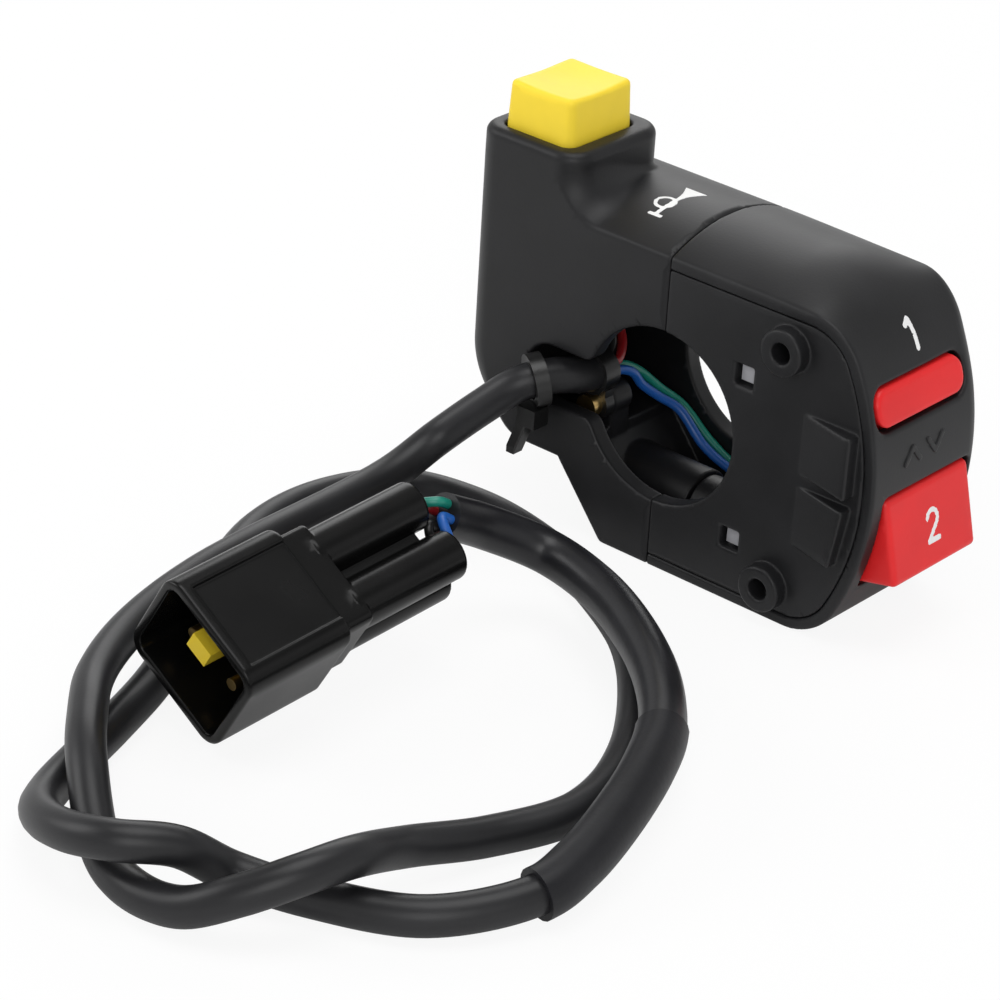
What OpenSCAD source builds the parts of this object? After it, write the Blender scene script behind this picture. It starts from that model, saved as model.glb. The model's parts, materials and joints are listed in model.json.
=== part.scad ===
// Switch cluster for a handlebar: a two-half clamp with a push button, a two-position rocker,
// and a cable with a four-way plug. Origin on the bar axis at mid depth, +X to the rocker end,
// +Y along the bar away from the viewer, +Z up. Millimetres.

/* [Clamp] */
// Radius of the handlebar that the clamp takes
bar_r = 11.1; // [10.9:0.05:11.3]
// Depth of the clamp along the bar
depth = 22; // [21.8:0.1:22.4]
// Reach of the rocker half from the bar axis
mode_len = 31.6; // [30:0.1:34]
// Reach of the button half from the bar axis
horn_len = 31; // [29:0.1:34]
// Height of the side faces above the bar axis
side_top = 20.7; // [20.6:0.1:21]
// Depth of the flat bottom below the bar axis
bottom = 20; // [20:0.1:20.3]
// Rise of the crowned top between the side faces
crown_h = 2.6; // [2.4:0.1:2.8]
// Thickness of the shell walls
wall = 2.5; // [2.3:0.1:2.6]

/* [Button] */
// Height of the tower above the bar axis
tower_top = 28.2; // [28:0.1:28.6]
// Height of the button's top above the bar axis
button_top = 33.9; // [32.5:0.1:34.5]
// Travel of the button
button_travel = 2.5; // [2:0.1:2.5]

/* [Cable] */
// Diameter of the cable
cable_d = 4.5; // [4.3:0.1:4.6]
// Diameter of the shrunk sleeve over the joint
shrink_d = 6; // [5.6:0.1:6]
// Diameter of the soft sleeve at the plug
sleeve_d = 5.4; // [5:0.1:5.4]
// Diameter of each inner wire
wire_d = 1.2; // [1:0.1:1.3]

/* [Plug] */
// Width of the plug
plug_w = 16; // [15.8:0.1:16.2]
// Height of the plug
plug_h = 14.4; // [14.2:0.1:14.6]
// Length of the square part of the plug
plug_len = 15.2; // [14.8:0.1:15.6]

/* [Hidden] */
$fn = 64;
// Facets of the large arcs, and of wires, cables and coils
fine = 128;
wire_sides = 8;
cable_sides = 10;
coil_sides = 6;
coil_steps = 10;

// A little extra length for cuts that pass right through a face
over = 0.5;
// Running gap between fixed pieces
slip = 0.15;
// Close fit of a pin or wire in its hole
fit = 0.05;
// Room round a piece that is only screwed in place
room = 0.3;
near = -depth / 2;
far = depth / 2;
inner_near = near + wall;
inner_far = far - wall;

// Outline of the rocker half: barrel end, rounded corners
end_r = 35;
end_mid = 0.5;
end_x = mode_len - end_r;
corner_r = 8;
corner_top = side_top - corner_r;
corner_low = corner_r - bottom;
corner_top_x = end_x + sqrt(pow(end_r - corner_r, 2) - pow(corner_top - end_mid, 2));
corner_low_x = end_x + sqrt(pow(end_r - corner_r, 2) - pow(corner_low - end_mid, 2));
rim = 1.5;

// Crown across the depth, and its run-out arc towards the rocker end
crown_top = side_top + crown_h;
crown_r = (pow(far, 2) + pow(crown_h, 2)) / (2 * crown_h);
run_angle = 50;
run_r = (crown_top - corner_top - corner_r * sin(run_angle)) / (1 - sin(run_angle));
run_x = corner_top_x - (run_r - corner_r) * cos(run_angle);
run_z = crown_top - run_r;
run_low = corner_top + corner_r * sin(run_angle);

// Button half: upper block, lower nose and tower
block_low = -11;
block_r = 11;
plan_r = 4;
nose_x = -15;
nose_flat_x = -7.5;
tower_w = 16;
tower_right = tower_w - horn_len;
tower_far = 6.2;
tower_rim = 1.6;
tower_wall = 1.6;
tower_roof = 2.3;
tower_fillet = 2.5;
ceiling = 18;
slot_low = -4.3;
slot_high = 3.3;
slot_end = -20.5;
slot_r = (slot_high - slot_low) / 2;

// Clamp screws, both along X
upper_y = 6;
upper_z = 15.6;
upper_seat_in = 3.5;
upper_seat = upper_seat_in - horn_len;
lower_y = 0;
lower_z = -15.8;
lower_seat = -8;
clamp_shank_r = 1.95;
clamp_hole_r = 2.2;
clamp_head_r = 3.3;
clamp_head_h = 3;
clamp_pocket_r = 3.5;
clamp_tube_r = 3.2;
pocket_ring_r = 4.5;
pocket_ring_back = 1.5;
insert_r = 2.8;
insert_len = 6;
insert_start = 0.3;
insert_boss_r = 4;
insert_boss_len = 8;

// Side cover: bosses, pads and pegs
boss_x = mode_len - 13.5;
boss_z = 15.4;
boss_r = 2.9;
boss_hole_r = 1.3;
boss_h = 2;
pad_h = 2;
pad_left = mode_len - 10.8;
pad_right = mode_len - 2.8;
upper_pad = [0.4, 8.3];
lower_pad = [-9, -1.1];
lower_pad_taper = 1.4;
peg_x = mode_len - 19.6;
peg_zs = [9.7, -11.75];
peg_w = 2.7;
peg_gap = 0.35;
peg_post_r = 1.5;
peg_shank_r = 0.7;
peg_depth = 5.5;
peg_hole_depth = 6.5;
peg_sink = 1;

// Push button and its switch
button_off = 0.25;
button_x = tower_right - tower_w / 2 - button_off;
button_y = -2.7;
button_w = 10.4;
button_d = 12;
button_gap = 0.25;
button_r = 1.2;
button_draft = 0.3;
dish_r = 30;
dish_drop = 0.5;
cap_wall = 1.4;
flange_low = 24.4;
flange_high = 25.6;
flange_w = 11.4;
flange_d = 12.9;
button_boss_r = 2.4;
bridge_top = 23.2;
bridge_h = 0.6;
bridge_w = 4;
bridge_d = 11;
button_peg_r = 1.4;
button_peg_low = 21.4;
contact_r = 0.9;
contact_pitch = 4;
contact_top = bridge_top - bridge_h - button_travel - room;
contact_low = 9;
horn_base_low = 12;
horn_base_high = 14.2;
horn_base_far = 2.8;
horn_post_high = 19.4;
horn_screws = [[button_x - 3.3, 0.2], [button_x + 3.6, -6]];
horn_screw_len = 5.5;
horn_post_r = 1.7;
horn_web_half = 1;
small_head_r = 1.7;
small_head_h = 1.4;
small_screw_r = 0.95;
small_hole_r = 1;
spring_r = 2;
spring_wire_r = 0.25;
spring_turns = 5;

// Rocker, pivot axis along Y
pivot_x = mode_len - 5.1;
pivot_z = 4;
rocker_bore_r = 1.05;
pin_r = 1;
hub_r = 2.2;
web_y = 5.8;
web_back = pivot_x - 1.9;
web_front = pivot_x + 1.8;
web_step = 2;
bar_near = -9.5;
bar_far = 7.3;
bar_low = 8.8;
bar_high = 13.2;
wedge_y = 8.2;
wedge_high = -0.2;
wedge_low = -11.9;
wedge_tip = -10.6;
wedge_out_top = mode_len;
wedge_out_low = mode_len + 2.6;
bar_proud = 0.2;
bridge_in = mode_len - 2.5;
bridge_relief = 1;
window_gap = 0.35;
bar_swing = 0.6;
wedge_swing = 0.35;
window_back = pivot_x - 2.5;
detent_tilt = -3;
detent_boss_r = 2.6;
detent_bore_r = 1.6;
detent_boss_len = 6.5;
detent_bore_start = 2.2;
plunger_r = 1.5;
plunger_start = 4.6;
plunger_tip = 8.6;
detent_spring_r = 1.1;
detent_wire_r = 0.2;
detent_turns = 2;

// Moving contact and fixed side of the rocker switch
seesaw_x = pivot_x - 9.3;
seesaw_half = 4;
seesaw_y = 4.5;
seesaw_t = 0.8;
seesaw_tilt = 5.25;
trunnion_r = 0.5;
trunnion_y = 7.3;
base_x = pivot_x - 12.5;
base_front = pivot_x - 10.9;
base_half = 8;
ear_in = 6.3;
ear_x = pivot_x + 1.4;
ear_half = 2;
stud_x = pivot_x - 10.2;
stud_off = 3.4;
stud_r = 1;
rivet_r = 1.3;
rivet_shank_r = 0.8;
knife_x = pivot_x - 9.85;
knife_half = 0.4;
flange_x = pivot_x - 4.5;
flange_half = 11;
flange_t = 1.5;
mode_screws = [[pivot_x - 8.5, pivot_z - 8.5], [pivot_x - 8.5, pivot_z + 8.5]];
mode_screw_len = 3.6;
mode_hole_depth = 2.3;
tab_x = pivot_x - 13.1;
tab_low = -8.5;
tab_y = 3;
tab_half = 1.2;

// Clip and tie on the cable
clip_x = -14.2;
clip_z = -0.8;
clip_near = -6.6;
clip_far = -4;
clip_r = 2.8;
clip_t = 1.5;
clip_web_half = 1.8;
clip_screw_z = -5.3;
clip_head_r = 1.5;
clip_post_r = 2.2;
clip_post_len = 3.6;
clip_screw_len = 5;
tie_at = [-17.5, -12.65, -0.85];
tie_turn = [9.6, 0, -32.2];
tie_t = 1;
tie_w = 1.8;
tie_gap = 0.1;
tie_tail = [1.2, 1.6, 0.9];
tie_head_low = [-1, -2.2, -5.6];
tie_head_high = [1.8, 0.4, -3.1];
tie_tail_in = [-0.2, -1.3, -5.2];
tie_tail_out = [-1.4, -1.8, -9.2];

// Route of the cable from the clip to the joint sleeve
cable_route = [[clip_x, -3.6, clip_z], [clip_x, -7, clip_z], [-16.4, -10.9, -0.5], [-18.6, -14.4, -1.2],
    [-22, -17, -4.6], [-26, -20.5, -9.2], [-27.2, -28, -12.2], [-26, -61, -12.7], [-22.9, -75, -12.9],
    [-17.7, -85.5, -12.7], [-12.2, -91.9, -12.4], [-5.9, -98, -13.1], [3.5, -104.5, -17.4],
    [10.4, -106.7, -17.7], [16.8, -106.2, -16.9], [22.2, -103.3, -14.2], [25.8, -98.4, -12.3],
    [27.1, -92.2, -12.4], [26.6, -83, -15.5], [29.3, -73.2, -17.4], [32.3, -62.4, -17.7],
    [28.7, -49.7, -17.7], [15.5, -32.5, -17.7], [3.2, -24.4, -17.7], [-9.4, -19.5, -17.7],
    [-21.2, -18.1, -17.7], [-31, -21, -17.7], [-35.7, -29.7, -17.7], [-35.5, -41.5, -17.7],
    [-26.5, -61, -17.7], [-18.5, -75.5, -17.7], [-14.5, -85.7, -17.7], [-9.5, -100, -17.7],
    [-4.7, -105.7, -15.8], [2.3, -108.4, -13.5], [8.5, -107.6, -12.1], [12.8, -103, -12.9],
    [16.1, -98.4, -16.5], [23.7, -94.6, -17.7], [34.7, -88.8, -17.5], [40.7, -78.7, -16.7]];
// Route of the joint sleeve
shrink_route = [[40.8, -72.3, -15.8], [39, -63.5, -14.4], [36.5, -55.9, -13.2], [33.4, -49.8, -12.5]];
// Route of the soft sleeve up to the plug's wire tails
sleeve_route = [[27.2, -42.9, -12], [19.1, -36.8, -11.8], [8.4, -31.2, -11.9], [-0.3, -30, -11.2],
    [-5, -35.6, -7.8], [-6, -42.2, -4.2]];
whole_route = concat(cable_route, shrink_route, sleeve_route);
shrink_first = len(cable_route) - 1;
sleeve_first = shrink_first + len(shrink_route);
route_last = len(whole_route) - 1;

// Least gap between the cable's turns, measured on points along its route
turn_steps = 6;
turn_apart = 3 * turn_steps;
turn_last = route_last * turn_steps - 1;
function route_r(i) = i < shrink_first ? cable_d / 2 : i < sleeve_first ? shrink_d / 2 : sleeve_d / 2;
turn_points = [for (i = [0:route_last - 1], t = [0:turn_steps - 1])
    whole_route[i] + (whole_route[i + 1] - whole_route[i]) * t / turn_steps];
turn_r = [for (i = [0:route_last - 1], t = [0:turn_steps - 1]) route_r(i)];
least_gap = min([for (a = [0:turn_last - turn_apart], b = [a + turn_apart:turn_last])
    norm(turn_points[a] - turn_points[b]) - turn_r[a] - turn_r[b]]);
echo(least_gap_between_turns = least_gap);

// Wires that leave the sheath in a bundle inside the clamp
wire_off = 0.75;
wire_lead = 1.5;
// Ring directions that keep the tubes from twisting
upright = [0, 0, 1];
mode_wire_up = [0.6, 0.1, 0.8];
horn_wire_up = [0.3, 1, 0];
blue_route = [[-12.9, 0.2, -2.4], [-12.6, 2, -4.6], [-11.4, 3.8, -6.3], [-9.3, 5.6, -8], [-5.2, 6, -11.8],
    [0, 6, -13.6], [5, 5.8, -13.6], [8.6, 5.4, -11.6], [11.2, 4.4, -9]];
green_route = [[-14.4, 0.4, -2], [-13.8, 3, -3.6], [-12.2, 5.2, -6], [-10, 7.2, -8.2], [-5.8, 7.6, -11.6],
    [0, 7.6, -14.4], [5, 6.8, -15.2], [8.5, 5, -14.9], [10, 0, -9.4], [11.2, -1.6, -8]];
red_route = [[-15.6, 1, 1.4], [-18.5, 1.8, 4], [button_x + 1, 1.8, 6.4]];
black_route = [[-16, -0.6, 1.8], [-19, -3.6, 4.6], [button_x + 1, -6.2, 6.6]];
post_rise = 1.2;
tab_rise = 2.5;
tab_drop = 0.8;

// Place of the plug: mouth centre, then turns about its own axes
plug_at = [-8.4, -80.3, -9.6];
plug_yaw = -3;
plug_pitch = 4.5;
plug_roll = 32.5;
plug_r = 2.5;
plug_wall = 1.2;
plug_cavity = 12;
neck_len = 4.6;
neck_w = 13.6;
neck_h = 11.2;
neck_r = 1;
rail_w = 2.6;
collar = 1.5;
rail_h = 0.5;
tube_r = 3;
tube_web_end = 2;
tube_len = 15.5;
tube_bore_r = 1.9;
tube_x = 3.6;
tube_z = 2.4;
tube_mid = [0.1, 0.4];
tube_signs = [[-1, 1], [1, 1], [-1, -1], [1, -1]];
pin_start = 4;
plug_pin_r = 0.75;
seal_len = 4;
lock_left = -2.2;
lock_right = 1;
lock_low = 0;
lock_high = 2.4;
lock_start = 1.2;
lock_slope = 40;
tail_start = plug_len + neck_len + tube_len;
tail_clear = 0.4;
tail_spread = 1.4;
tail_stand = 1.6;

black_plastic = [0.14, 0.14, 0.15];
red_plastic = [0.86, 0.17, 0.18];
yellow_plastic = [0.96, 0.85, 0.3];
steel = [0.72, 0.72, 0.74];
brass = [0.8, 0.63, 0.3];
nylon = [0.8, 0.8, 0.79];
blue = [0.1, 0.35, 0.7];
green = [0.08, 0.5, 0.42];
dark_red = [0.6, 0.08, 0.1];
wire_black = [0.1, 0.1, 0.1];
seal_grey = [0.25, 0.25, 0.26];

// Extrusion along the bar axis of an outline drawn in X and Z
module along_bar(from_y, to_y) {
    translate([0, to_y, 0])
        rotate([90, 0, 0])
            linear_extrude(to_y - from_y)
                children();
}

// Round rod along X, Y or Z, from its start point
module rod_x(at, r, len) {
    translate(at)
        rotate([0, 90, 0])
            cylinder(r = r, h = len);
}

module rod_y(at, r, len) {
    translate(at)
        rotate([-90, 0, 0])
            cylinder(r = r, h = len);
}

module rod_z(at, r, len) {
    translate(at)
        cylinder(r = r, h = len);
}

// Box between two corners
module box(low, high) {
    translate(low)
        cube(high - low);
}

// Rectangle with round corners about the origin
module round_rect(w, h, r) {
    square([w, h - 2 * r], center = true);
    square([w - 2 * r, h], center = true);
    for (sx = [-1, 1], sy = [-1, 1])
        translate([sx * (w / 2 - r), sy * (h / 2 - r)])
            circle(r);
}

// Upright block with round corners and a rolled upper rim
module rolled_block(w, d, low, high, r, roll) {
    inner_w = w / 2 - r;
    inner_d = d / 2 - r;
    translate([0, 0, low])
        linear_extrude(high - low - roll)
            round_rect(w, d, r);
    translate([0, 0, low])
        linear_extrude(high - low)
            round_rect(w - 2 * roll, d - 2 * roll, r - roll);
    for (sx = [-1, 1], sy = [-1, 1])
        translate([sx * inner_w, sy * inner_d, high - roll])
            rotate_extrude()
                intersection() {
                    translate([r - roll, 0])
                        circle(roll);
                    square([r, roll]);
                }
    for (sy = [-1, 1])
        rod_x([-inner_w, sy * (d / 2 - roll), high - roll], roll, 2 * inner_w);
    for (sx = [-1, 1])
        rod_y([sx * (w / 2 - roll), -inner_d, high - roll], roll, 2 * inner_d);
}

// Wedge that trims one outline corner of the rocker half to a radius
module corner_trim(at, r, side) {
    lean = atan2(abs(at[1] - end_mid), at[0] - end_x);
    reach = 2 * corner_r;
    translate(at)
        scale([1, side])
            difference() {
                polygon([[0, 0], [reach * cos(lean), reach * sin(lean)], [reach, reach], [0, reach]]);
                circle(r);
            }
}

// Side outline of the rocker half, drawn in by an inset
module mode_outline(inset) {
    difference() {
        intersection() {
            translate([0, inset - bottom])
                square([mode_len, bottom + side_top - 2 * inset]);
            translate([end_x, end_mid])
                circle(end_r - inset, $fn = fine);
        }
        corner_trim([corner_top_x, corner_top], corner_r - inset, 1);
        corner_trim([corner_low_x, corner_low], corner_r - inset, -1);
    }
}

// Cylinder whose upper skin is the crowned top
module crown_roll() {
    rod_x([-horn_len - over, 0, crown_top - crown_r], crown_r, horn_len + mode_len + 2 * over);
}

module bar_bore() {
    rod_y([0, near - over, 0], bar_r, depth + 2 * over);
}

// Tube along a run of route points, squared to the route at each point
function unit(v) = v / norm(v);
function heading(path, i) =
    unit(path[min(i + 1, len(path) - 1)] - path[i] == [0, 0, 0]
        ? path[i] - path[i - 1]
        : i == 0 ? path[1] - path[0]
        : unit(path[i + 1] - path[i]) + unit(path[i] - path[i - 1]));
function side_of(path, i, up) = unit(cross(heading(path, i), up));
function ring(path, i, r, sides, up) =
    let (a = side_of(path, i, up), b = cross(a, heading(path, i)))
    [for (k = [0:sides - 1]) path[i] + r * (cos(360 * k / sides) * a + sin(360 * k / sides) * b)];

module tube(path, first, last, r, sides, up) {
    rings = last - first + 1;
    skin = [for (i = [first:last]) each ring(path, i, r, sides, up)];
    start_cap = [for (k = [sides - 1:-1:0]) k];
    end_cap = [for (k = [0:sides - 1]) (rings - 1) * sides + k];
    walls = [for (i = [0:rings - 2], k = [0:sides - 1])
        let (n = (k + 1) % sides)
        [i * sides + k, (i + 1) * sides + k, (i + 1) * sides + n, i * sides + n]];
    split = [for (f = walls) each [[f[2], f[1], f[0]], [f[3], f[2], f[0]]]];
    polyhedron(points = skin, faces = concat([start_cap], [end_cap], split), convexity = 10);
}

// Round wire coil that stands on Z
module coil(r, wire_r, low, high, turns) {
    steps = coil_steps * turns;
    path = [for (i = [0:steps])
        let (turn = 360 * i / coil_steps)
        [r * cos(turn), r * sin(turn), low + (high - low) * i / steps]];
    tube(path, 0, steps, wire_r, coil_sides, upright);
}

module cap_screw(at, len) {
    rod_x(at, clamp_shank_r, len);
    difference() {
        rod_x(at - [clamp_head_h, 0, 0], clamp_head_r, clamp_head_h);
        translate(at - [clamp_head_h + over, 0, 0])
            rotate([0, 90, 0])
                cylinder(r = clamp_head_r / 2, h = clamp_head_h / 2 + over, $fn = 6);
    }
}

// Plan of the button half: square at the split, round corners at the free end
module round_end_plan() {
    translate([-horn_len + plan_r, near])
        square([horn_len - plan_r, depth]);
    translate([-horn_len, near + plan_r])
        square([horn_len, depth - 2 * plan_r]);
    for (side = [-1, 1])
        translate([-horn_len + plan_r, side * (far - plan_r)])
            circle(plan_r);
}

module horn_outer() {
    intersection() {
        union() {
            along_bar(near, far) {
                difference() {
                    translate([-horn_len, block_low])
                        square([horn_len, side_top - block_low]);
                    translate([-horn_len, block_low])
                        difference() {
                            square(block_r);
                            translate([block_r, block_r])
                                circle(block_r);
                        }
                }
                polygon([[0, 0], [nose_x, 0], [nose_x, block_low], [nose_flat_x, -bottom], [0, -bottom]]);
            }
            intersection() {
                box([-horn_len, near, ceiling], [0, far, crown_top]);
                crown_roll();
            }
        }
        translate([0, 0, -bottom - over])
            linear_extrude(bottom + crown_top + 2 * over)
                round_end_plan();
    }
    translate([(tower_right - horn_len) / 2, (near + tower_far) / 2, 0])
        rolled_block(tower_right + horn_len, tower_far - near, ceiling, tower_top, plan_r, tower_rim);
    tower_blend();
}

// Hollow fillet between the crowned top and the tower's side
module tower_blend() {
    intersection() {
        translate([tower_right, 0, crown_top - crown_r])
            rotate([0, 90, 0])
                rotate_extrude($fn = fine)
                    difference() {
                        translate([crown_r - over, -over])
                            square([tower_fillet + over, tower_fillet + over]);
                        translate([crown_r + tower_fillet, tower_fillet])
                            circle(tower_fillet);
                    }
        box([tower_right - over, near + plan_r, ceiling],
            [tower_right + tower_fillet, tower_far - plan_r, tower_top]);
    }
}

module horn_hollow() {
    cavity_left = -horn_len + wall;
    along_bar(inner_near, inner_far) {
        difference() {
            translate([cavity_left, block_low + wall])
                square([-cavity_left + over, ceiling - block_low - wall]);
            translate([cavity_left, block_low + wall])
                difference() {
                    square(block_r - wall);
                    translate([block_r - wall, block_r - wall])
                        circle(block_r - wall);
                }
        }
        polygon([[over, 0], [nose_x + wall, 0], [nose_x + wall, block_low + over],
            [nose_flat_x + wall / 2, wall - bottom], [over, wall - bottom]]);
    }
    box([-horn_len + tower_wall, near + tower_wall, ceiling - over],
        [tower_right - tower_wall, tower_far - tower_wall, tower_top - tower_roof]);
}

// Walls, posts and screw tubes inside the button half
module horn_posts() {
    rod_x([-horn_len, upper_y, upper_z], clamp_tube_r, horn_len);
    rod_x([-horn_len, upper_y, upper_z], pocket_ring_r, upper_seat_in + pocket_ring_back);
    rod_x([nose_x, lower_y, lower_z], insert_boss_r + over, -nose_x);
    rod_y([clip_x, clip_far, clip_screw_z], clip_post_r, clip_post_len);
    box([clip_x - clip_web_half, clip_far, block_low + wall / 2],
        [clip_x + clip_web_half, clip_far + clip_post_len, clip_screw_z]);
    for (p = horn_screws)
        rod_z([p[0], p[1], horn_base_high], horn_post_r, horn_post_high - horn_base_high);
    box([-horn_len + wall / 2, horn_screws[0][1] - horn_web_half, horn_base_high],
        [horn_screws[0][0], horn_screws[0][1] + horn_web_half, horn_post_high]);
    box([horn_screws[1][0] - horn_web_half, near + wall / 2, horn_base_high],
        [horn_screws[1][0] + horn_web_half, horn_screws[1][1], horn_post_high]);
}

module horn_half_shell() {
    color(black_plastic)
        difference() {
            union() {
                difference() {
                    horn_outer();
                    horn_hollow();
                }
                intersection() {
                    horn_posts();
                    horn_outer();
                }
            }
            bar_bore();
            translate([button_x, button_y, tower_top - tower_roof - over])
                linear_extrude(tower_roof + 2 * over)
                    round_rect(button_w + 2 * button_gap, button_d + 2 * button_gap, button_r + button_gap);
            box([slot_end + slot_r, near - over, slot_low], [0, inner_near + over, slot_high]);
            rod_y([slot_end + slot_r, near - over, slot_low + slot_r], slot_r, wall + 2 * over);
            rod_x([-horn_len - over, upper_y, upper_z], clamp_hole_r, horn_len + 2 * over);
            rod_x([-horn_len - over, upper_y, upper_z], clamp_pocket_r, horn_len + upper_seat + over);
            rod_x([nose_x, lower_y, lower_z], clamp_hole_r, -nose_x + over);
            rod_x([nose_x - over, lower_y, lower_z], clamp_pocket_r, lower_seat - nose_x + over);
            for (p = horn_screws)
                rod_z([p[0], p[1], horn_base_high - over], small_hole_r, horn_post_high - horn_base_high);
            rod_y([clip_x, clip_far - over, clip_screw_z], small_hole_r, clip_screw_len);
        }
}

module mode_outer() {
    along_bar(near, far)
        mode_outline(0);
    intersection() {
        along_bar(near, far) {
            translate([0, run_low])
                square([run_x, crown_top - run_low]);
            intersection() {
                translate([run_x, run_z])
                    circle(run_r, $fn = fine);
                translate([0, run_low])
                    square([mode_len, crown_top - run_low]);
            }
        }
        crown_roll();
    }
}

// Openings for the rocker's bar and wedge
module rocker_windows() {
    box([window_back, bar_near - window_gap, bar_low - bar_swing],
        [mode_len + over, bar_far + window_gap, bar_high + window_gap]);
    box([window_back, -wedge_y - window_gap, wedge_low - wedge_swing],
        [mode_len + over, wedge_y + window_gap, wedge_high + window_gap]);
}

module mode_half_shell() {
    color(black_plastic)
        difference() {
            union() {
                difference() {
                    mode_outer();
                    along_bar(inner_near - over, inner_far)
                        mode_outline(wall);
                    along_bar(near - over, inner_near)
                        mode_outline(rim);
                    box([window_back, inner_near, wedge_high - bridge_relief],
                        [bridge_in, inner_far, bar_low]);
                }
                intersection() {
                    along_bar(inner_near, far)
                        mode_outline(rim);
                    for (p = [[upper_y, upper_z], [lower_y, lower_z]])
                        rod_x([0, p[0], p[1]], insert_boss_r, insert_boss_len);
                }
                for (z = peg_zs)
                    rod_y([peg_x, inner_near + slip, z], peg_post_r, depth - 2 * wall);
            }
            bar_bore();
            rocker_windows();
            for (p = [[upper_y, upper_z], [lower_y, lower_z]])
                rod_x([-over, p[0], p[1]], insert_r, insert_start + insert_len + over);
            for (z = peg_zs)
                rod_y([peg_x, inner_near - over, z], peg_shank_r + fit, peg_hole_depth);
            for (p = mode_screws)
                rod_y([p[0], inner_far - over, p[1]], small_hole_r, mode_hole_depth);
        }
}

// Two pads that rise from the cover towards the rocker end
module cover_pads() {
    intersection() {
        translate([0, 0, lower_pad[0]])
            linear_extrude(upper_pad[1] - lower_pad[0])
                polygon([[pad_left, near], [pad_right, near - pad_h], [pad_right, near + over],
                    [pad_left, near + over]]);
        along_bar(near - pad_h - over, near + 2 * over) {
            translate([pad_left - over, upper_pad[0]])
                square([pad_right - pad_left + 2 * over, upper_pad[1] - upper_pad[0]]);
            polygon([[pad_left - over, lower_pad[1]], [pad_left - over, lower_pad[0]],
                [pad_right - lower_pad_taper, lower_pad[0]], [pad_right, lower_pad[1]]]);
        }
    }
}

module mode_side_cover() {
    color(black_plastic)
        difference() {
            union() {
                along_bar(near, inner_near)
                    mode_outline(rim + slip);
                for (side = [-1, 1])
                    rod_y([boss_x, near - boss_h, side * boss_z], boss_r, boss_h + over);
                cover_pads();
            }
            bar_bore();
            for (side = [-1, 1])
                rod_y([boss_x, near - boss_h - over, side * boss_z], boss_hole_r, boss_h + wall + 2 * over);
            for (z = peg_zs)
                box([peg_x - peg_w / 2, near - over, z - peg_w / 2], [peg_x + peg_w / 2, 0, z + peg_w / 2]);
            box([window_back, bar_near - window_gap, bar_low - bar_swing],
                [mode_len, 0, bar_high + window_gap]);
        }
}

module cover_pegs() {
    head = peg_w - 2 * peg_gap;
    color(nylon)
        for (z = peg_zs) {
            box([peg_x - head / 2, near + peg_sink, z - head / 2],
                [peg_x + head / 2, inner_near, z + head / 2]);
            rod_y([peg_x, inner_near - over, z], peg_shank_r, peg_depth + over);
        }
}

module upper_clamp_screw() {
    color(steel)
        cap_screw([upper_seat, upper_y, upper_z], insert_len - upper_seat);
}

module lower_clamp_screw() {
    color(steel)
        cap_screw([lower_seat, lower_y, lower_z], insert_len - lower_seat);
}

module clamp_inserts() {
    color(brass)
        for (p = [[upper_y, upper_z], [lower_y, lower_z]])
            difference() {
                rod_x([insert_start, p[0], p[1]], insert_r, insert_len);
                rod_x([0, p[0], p[1]], clamp_shank_r + fit, 2 * insert_len);
            }
}

// Cap with sloping sides and a shallow round dish on top
module horn_button() {
    shrink = 1 - 2 * button_draft / button_w;
    color(yellow_plastic)
        translate([button_x, button_y, 0]) {
            difference() {
                union() {
                    translate([0, 0, flange_high - over])
                        linear_extrude(tower_top - flange_high + over)
                            round_rect(button_w, button_d, button_r);
                    translate([0, 0, tower_top])
                        linear_extrude(button_top - tower_top, scale = shrink)
                            round_rect(button_w, button_d, button_r);
                    translate([0, 0, flange_low])
                        linear_extrude(flange_high - flange_low)
                            square([flange_w, flange_d], center = true);
                }
                translate([0, 0, button_top + dish_r - dish_drop])
                    sphere(dish_r);
                translate([0, 0, flange_low - over])
                    linear_extrude(button_top - flange_low - 2 * cap_wall)
                        square([button_w - 3 * cap_wall, button_d - 3 * cap_wall], center = true);
            }
            rod_z([0, 0, bridge_top], button_boss_r, button_top - 2 * cap_wall - bridge_top);
            rod_z([0, 0, button_peg_low], button_peg_r, bridge_top - button_peg_low + over);
        }
}

module horn_contact_bridge() {
    color(brass)
        translate([button_x, button_y, bridge_top - bridge_h])
            linear_extrude(bridge_h)
                difference() {
                    square([bridge_w, bridge_d], center = true);
                    circle(button_peg_r + fit);
                }
}

module horn_spring() {
    color(steel)
        translate([button_x, button_y, 0])
            coil(spring_r, spring_wire_r, horn_base_high + room, bridge_top - bridge_h - room, spring_turns);
}

module horn_contacts() {
    color(brass)
        for (side = [-1, 1])
            translate([button_x, button_y + side * contact_pitch, contact_low])
                cylinder(r = contact_r, h = contact_top - contact_low);
}

module horn_contact_base() {
    hole_len = horn_base_high - horn_base_low + 2 * over;
    color(nylon)
        difference() {
            box([-horn_len + wall + slip, inner_near + slip, horn_base_low],
                [tower_right - tower_wall - room, horn_base_far, horn_base_high]);
            rod_x([-horn_len, upper_y, upper_z], pocket_ring_r + slip,
                upper_seat_in + pocket_ring_back + slip);
            for (side = [-1, 1])
                rod_z([button_x, button_y + side * contact_pitch, horn_base_low - over],
                    contact_r + fit, hole_len);
            for (p = horn_screws)
                rod_z([p[0], p[1], horn_base_low - over], small_screw_r + slip, hole_len);
        }
}

module horn_base_screws() {
    color(steel)
        for (p = horn_screws) {
            rod_z([p[0], p[1], horn_base_low - small_head_h], small_head_r, small_head_h);
            rod_z([p[0], p[1], horn_base_low - over], small_screw_r, horn_screw_len);
        }
}

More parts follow.
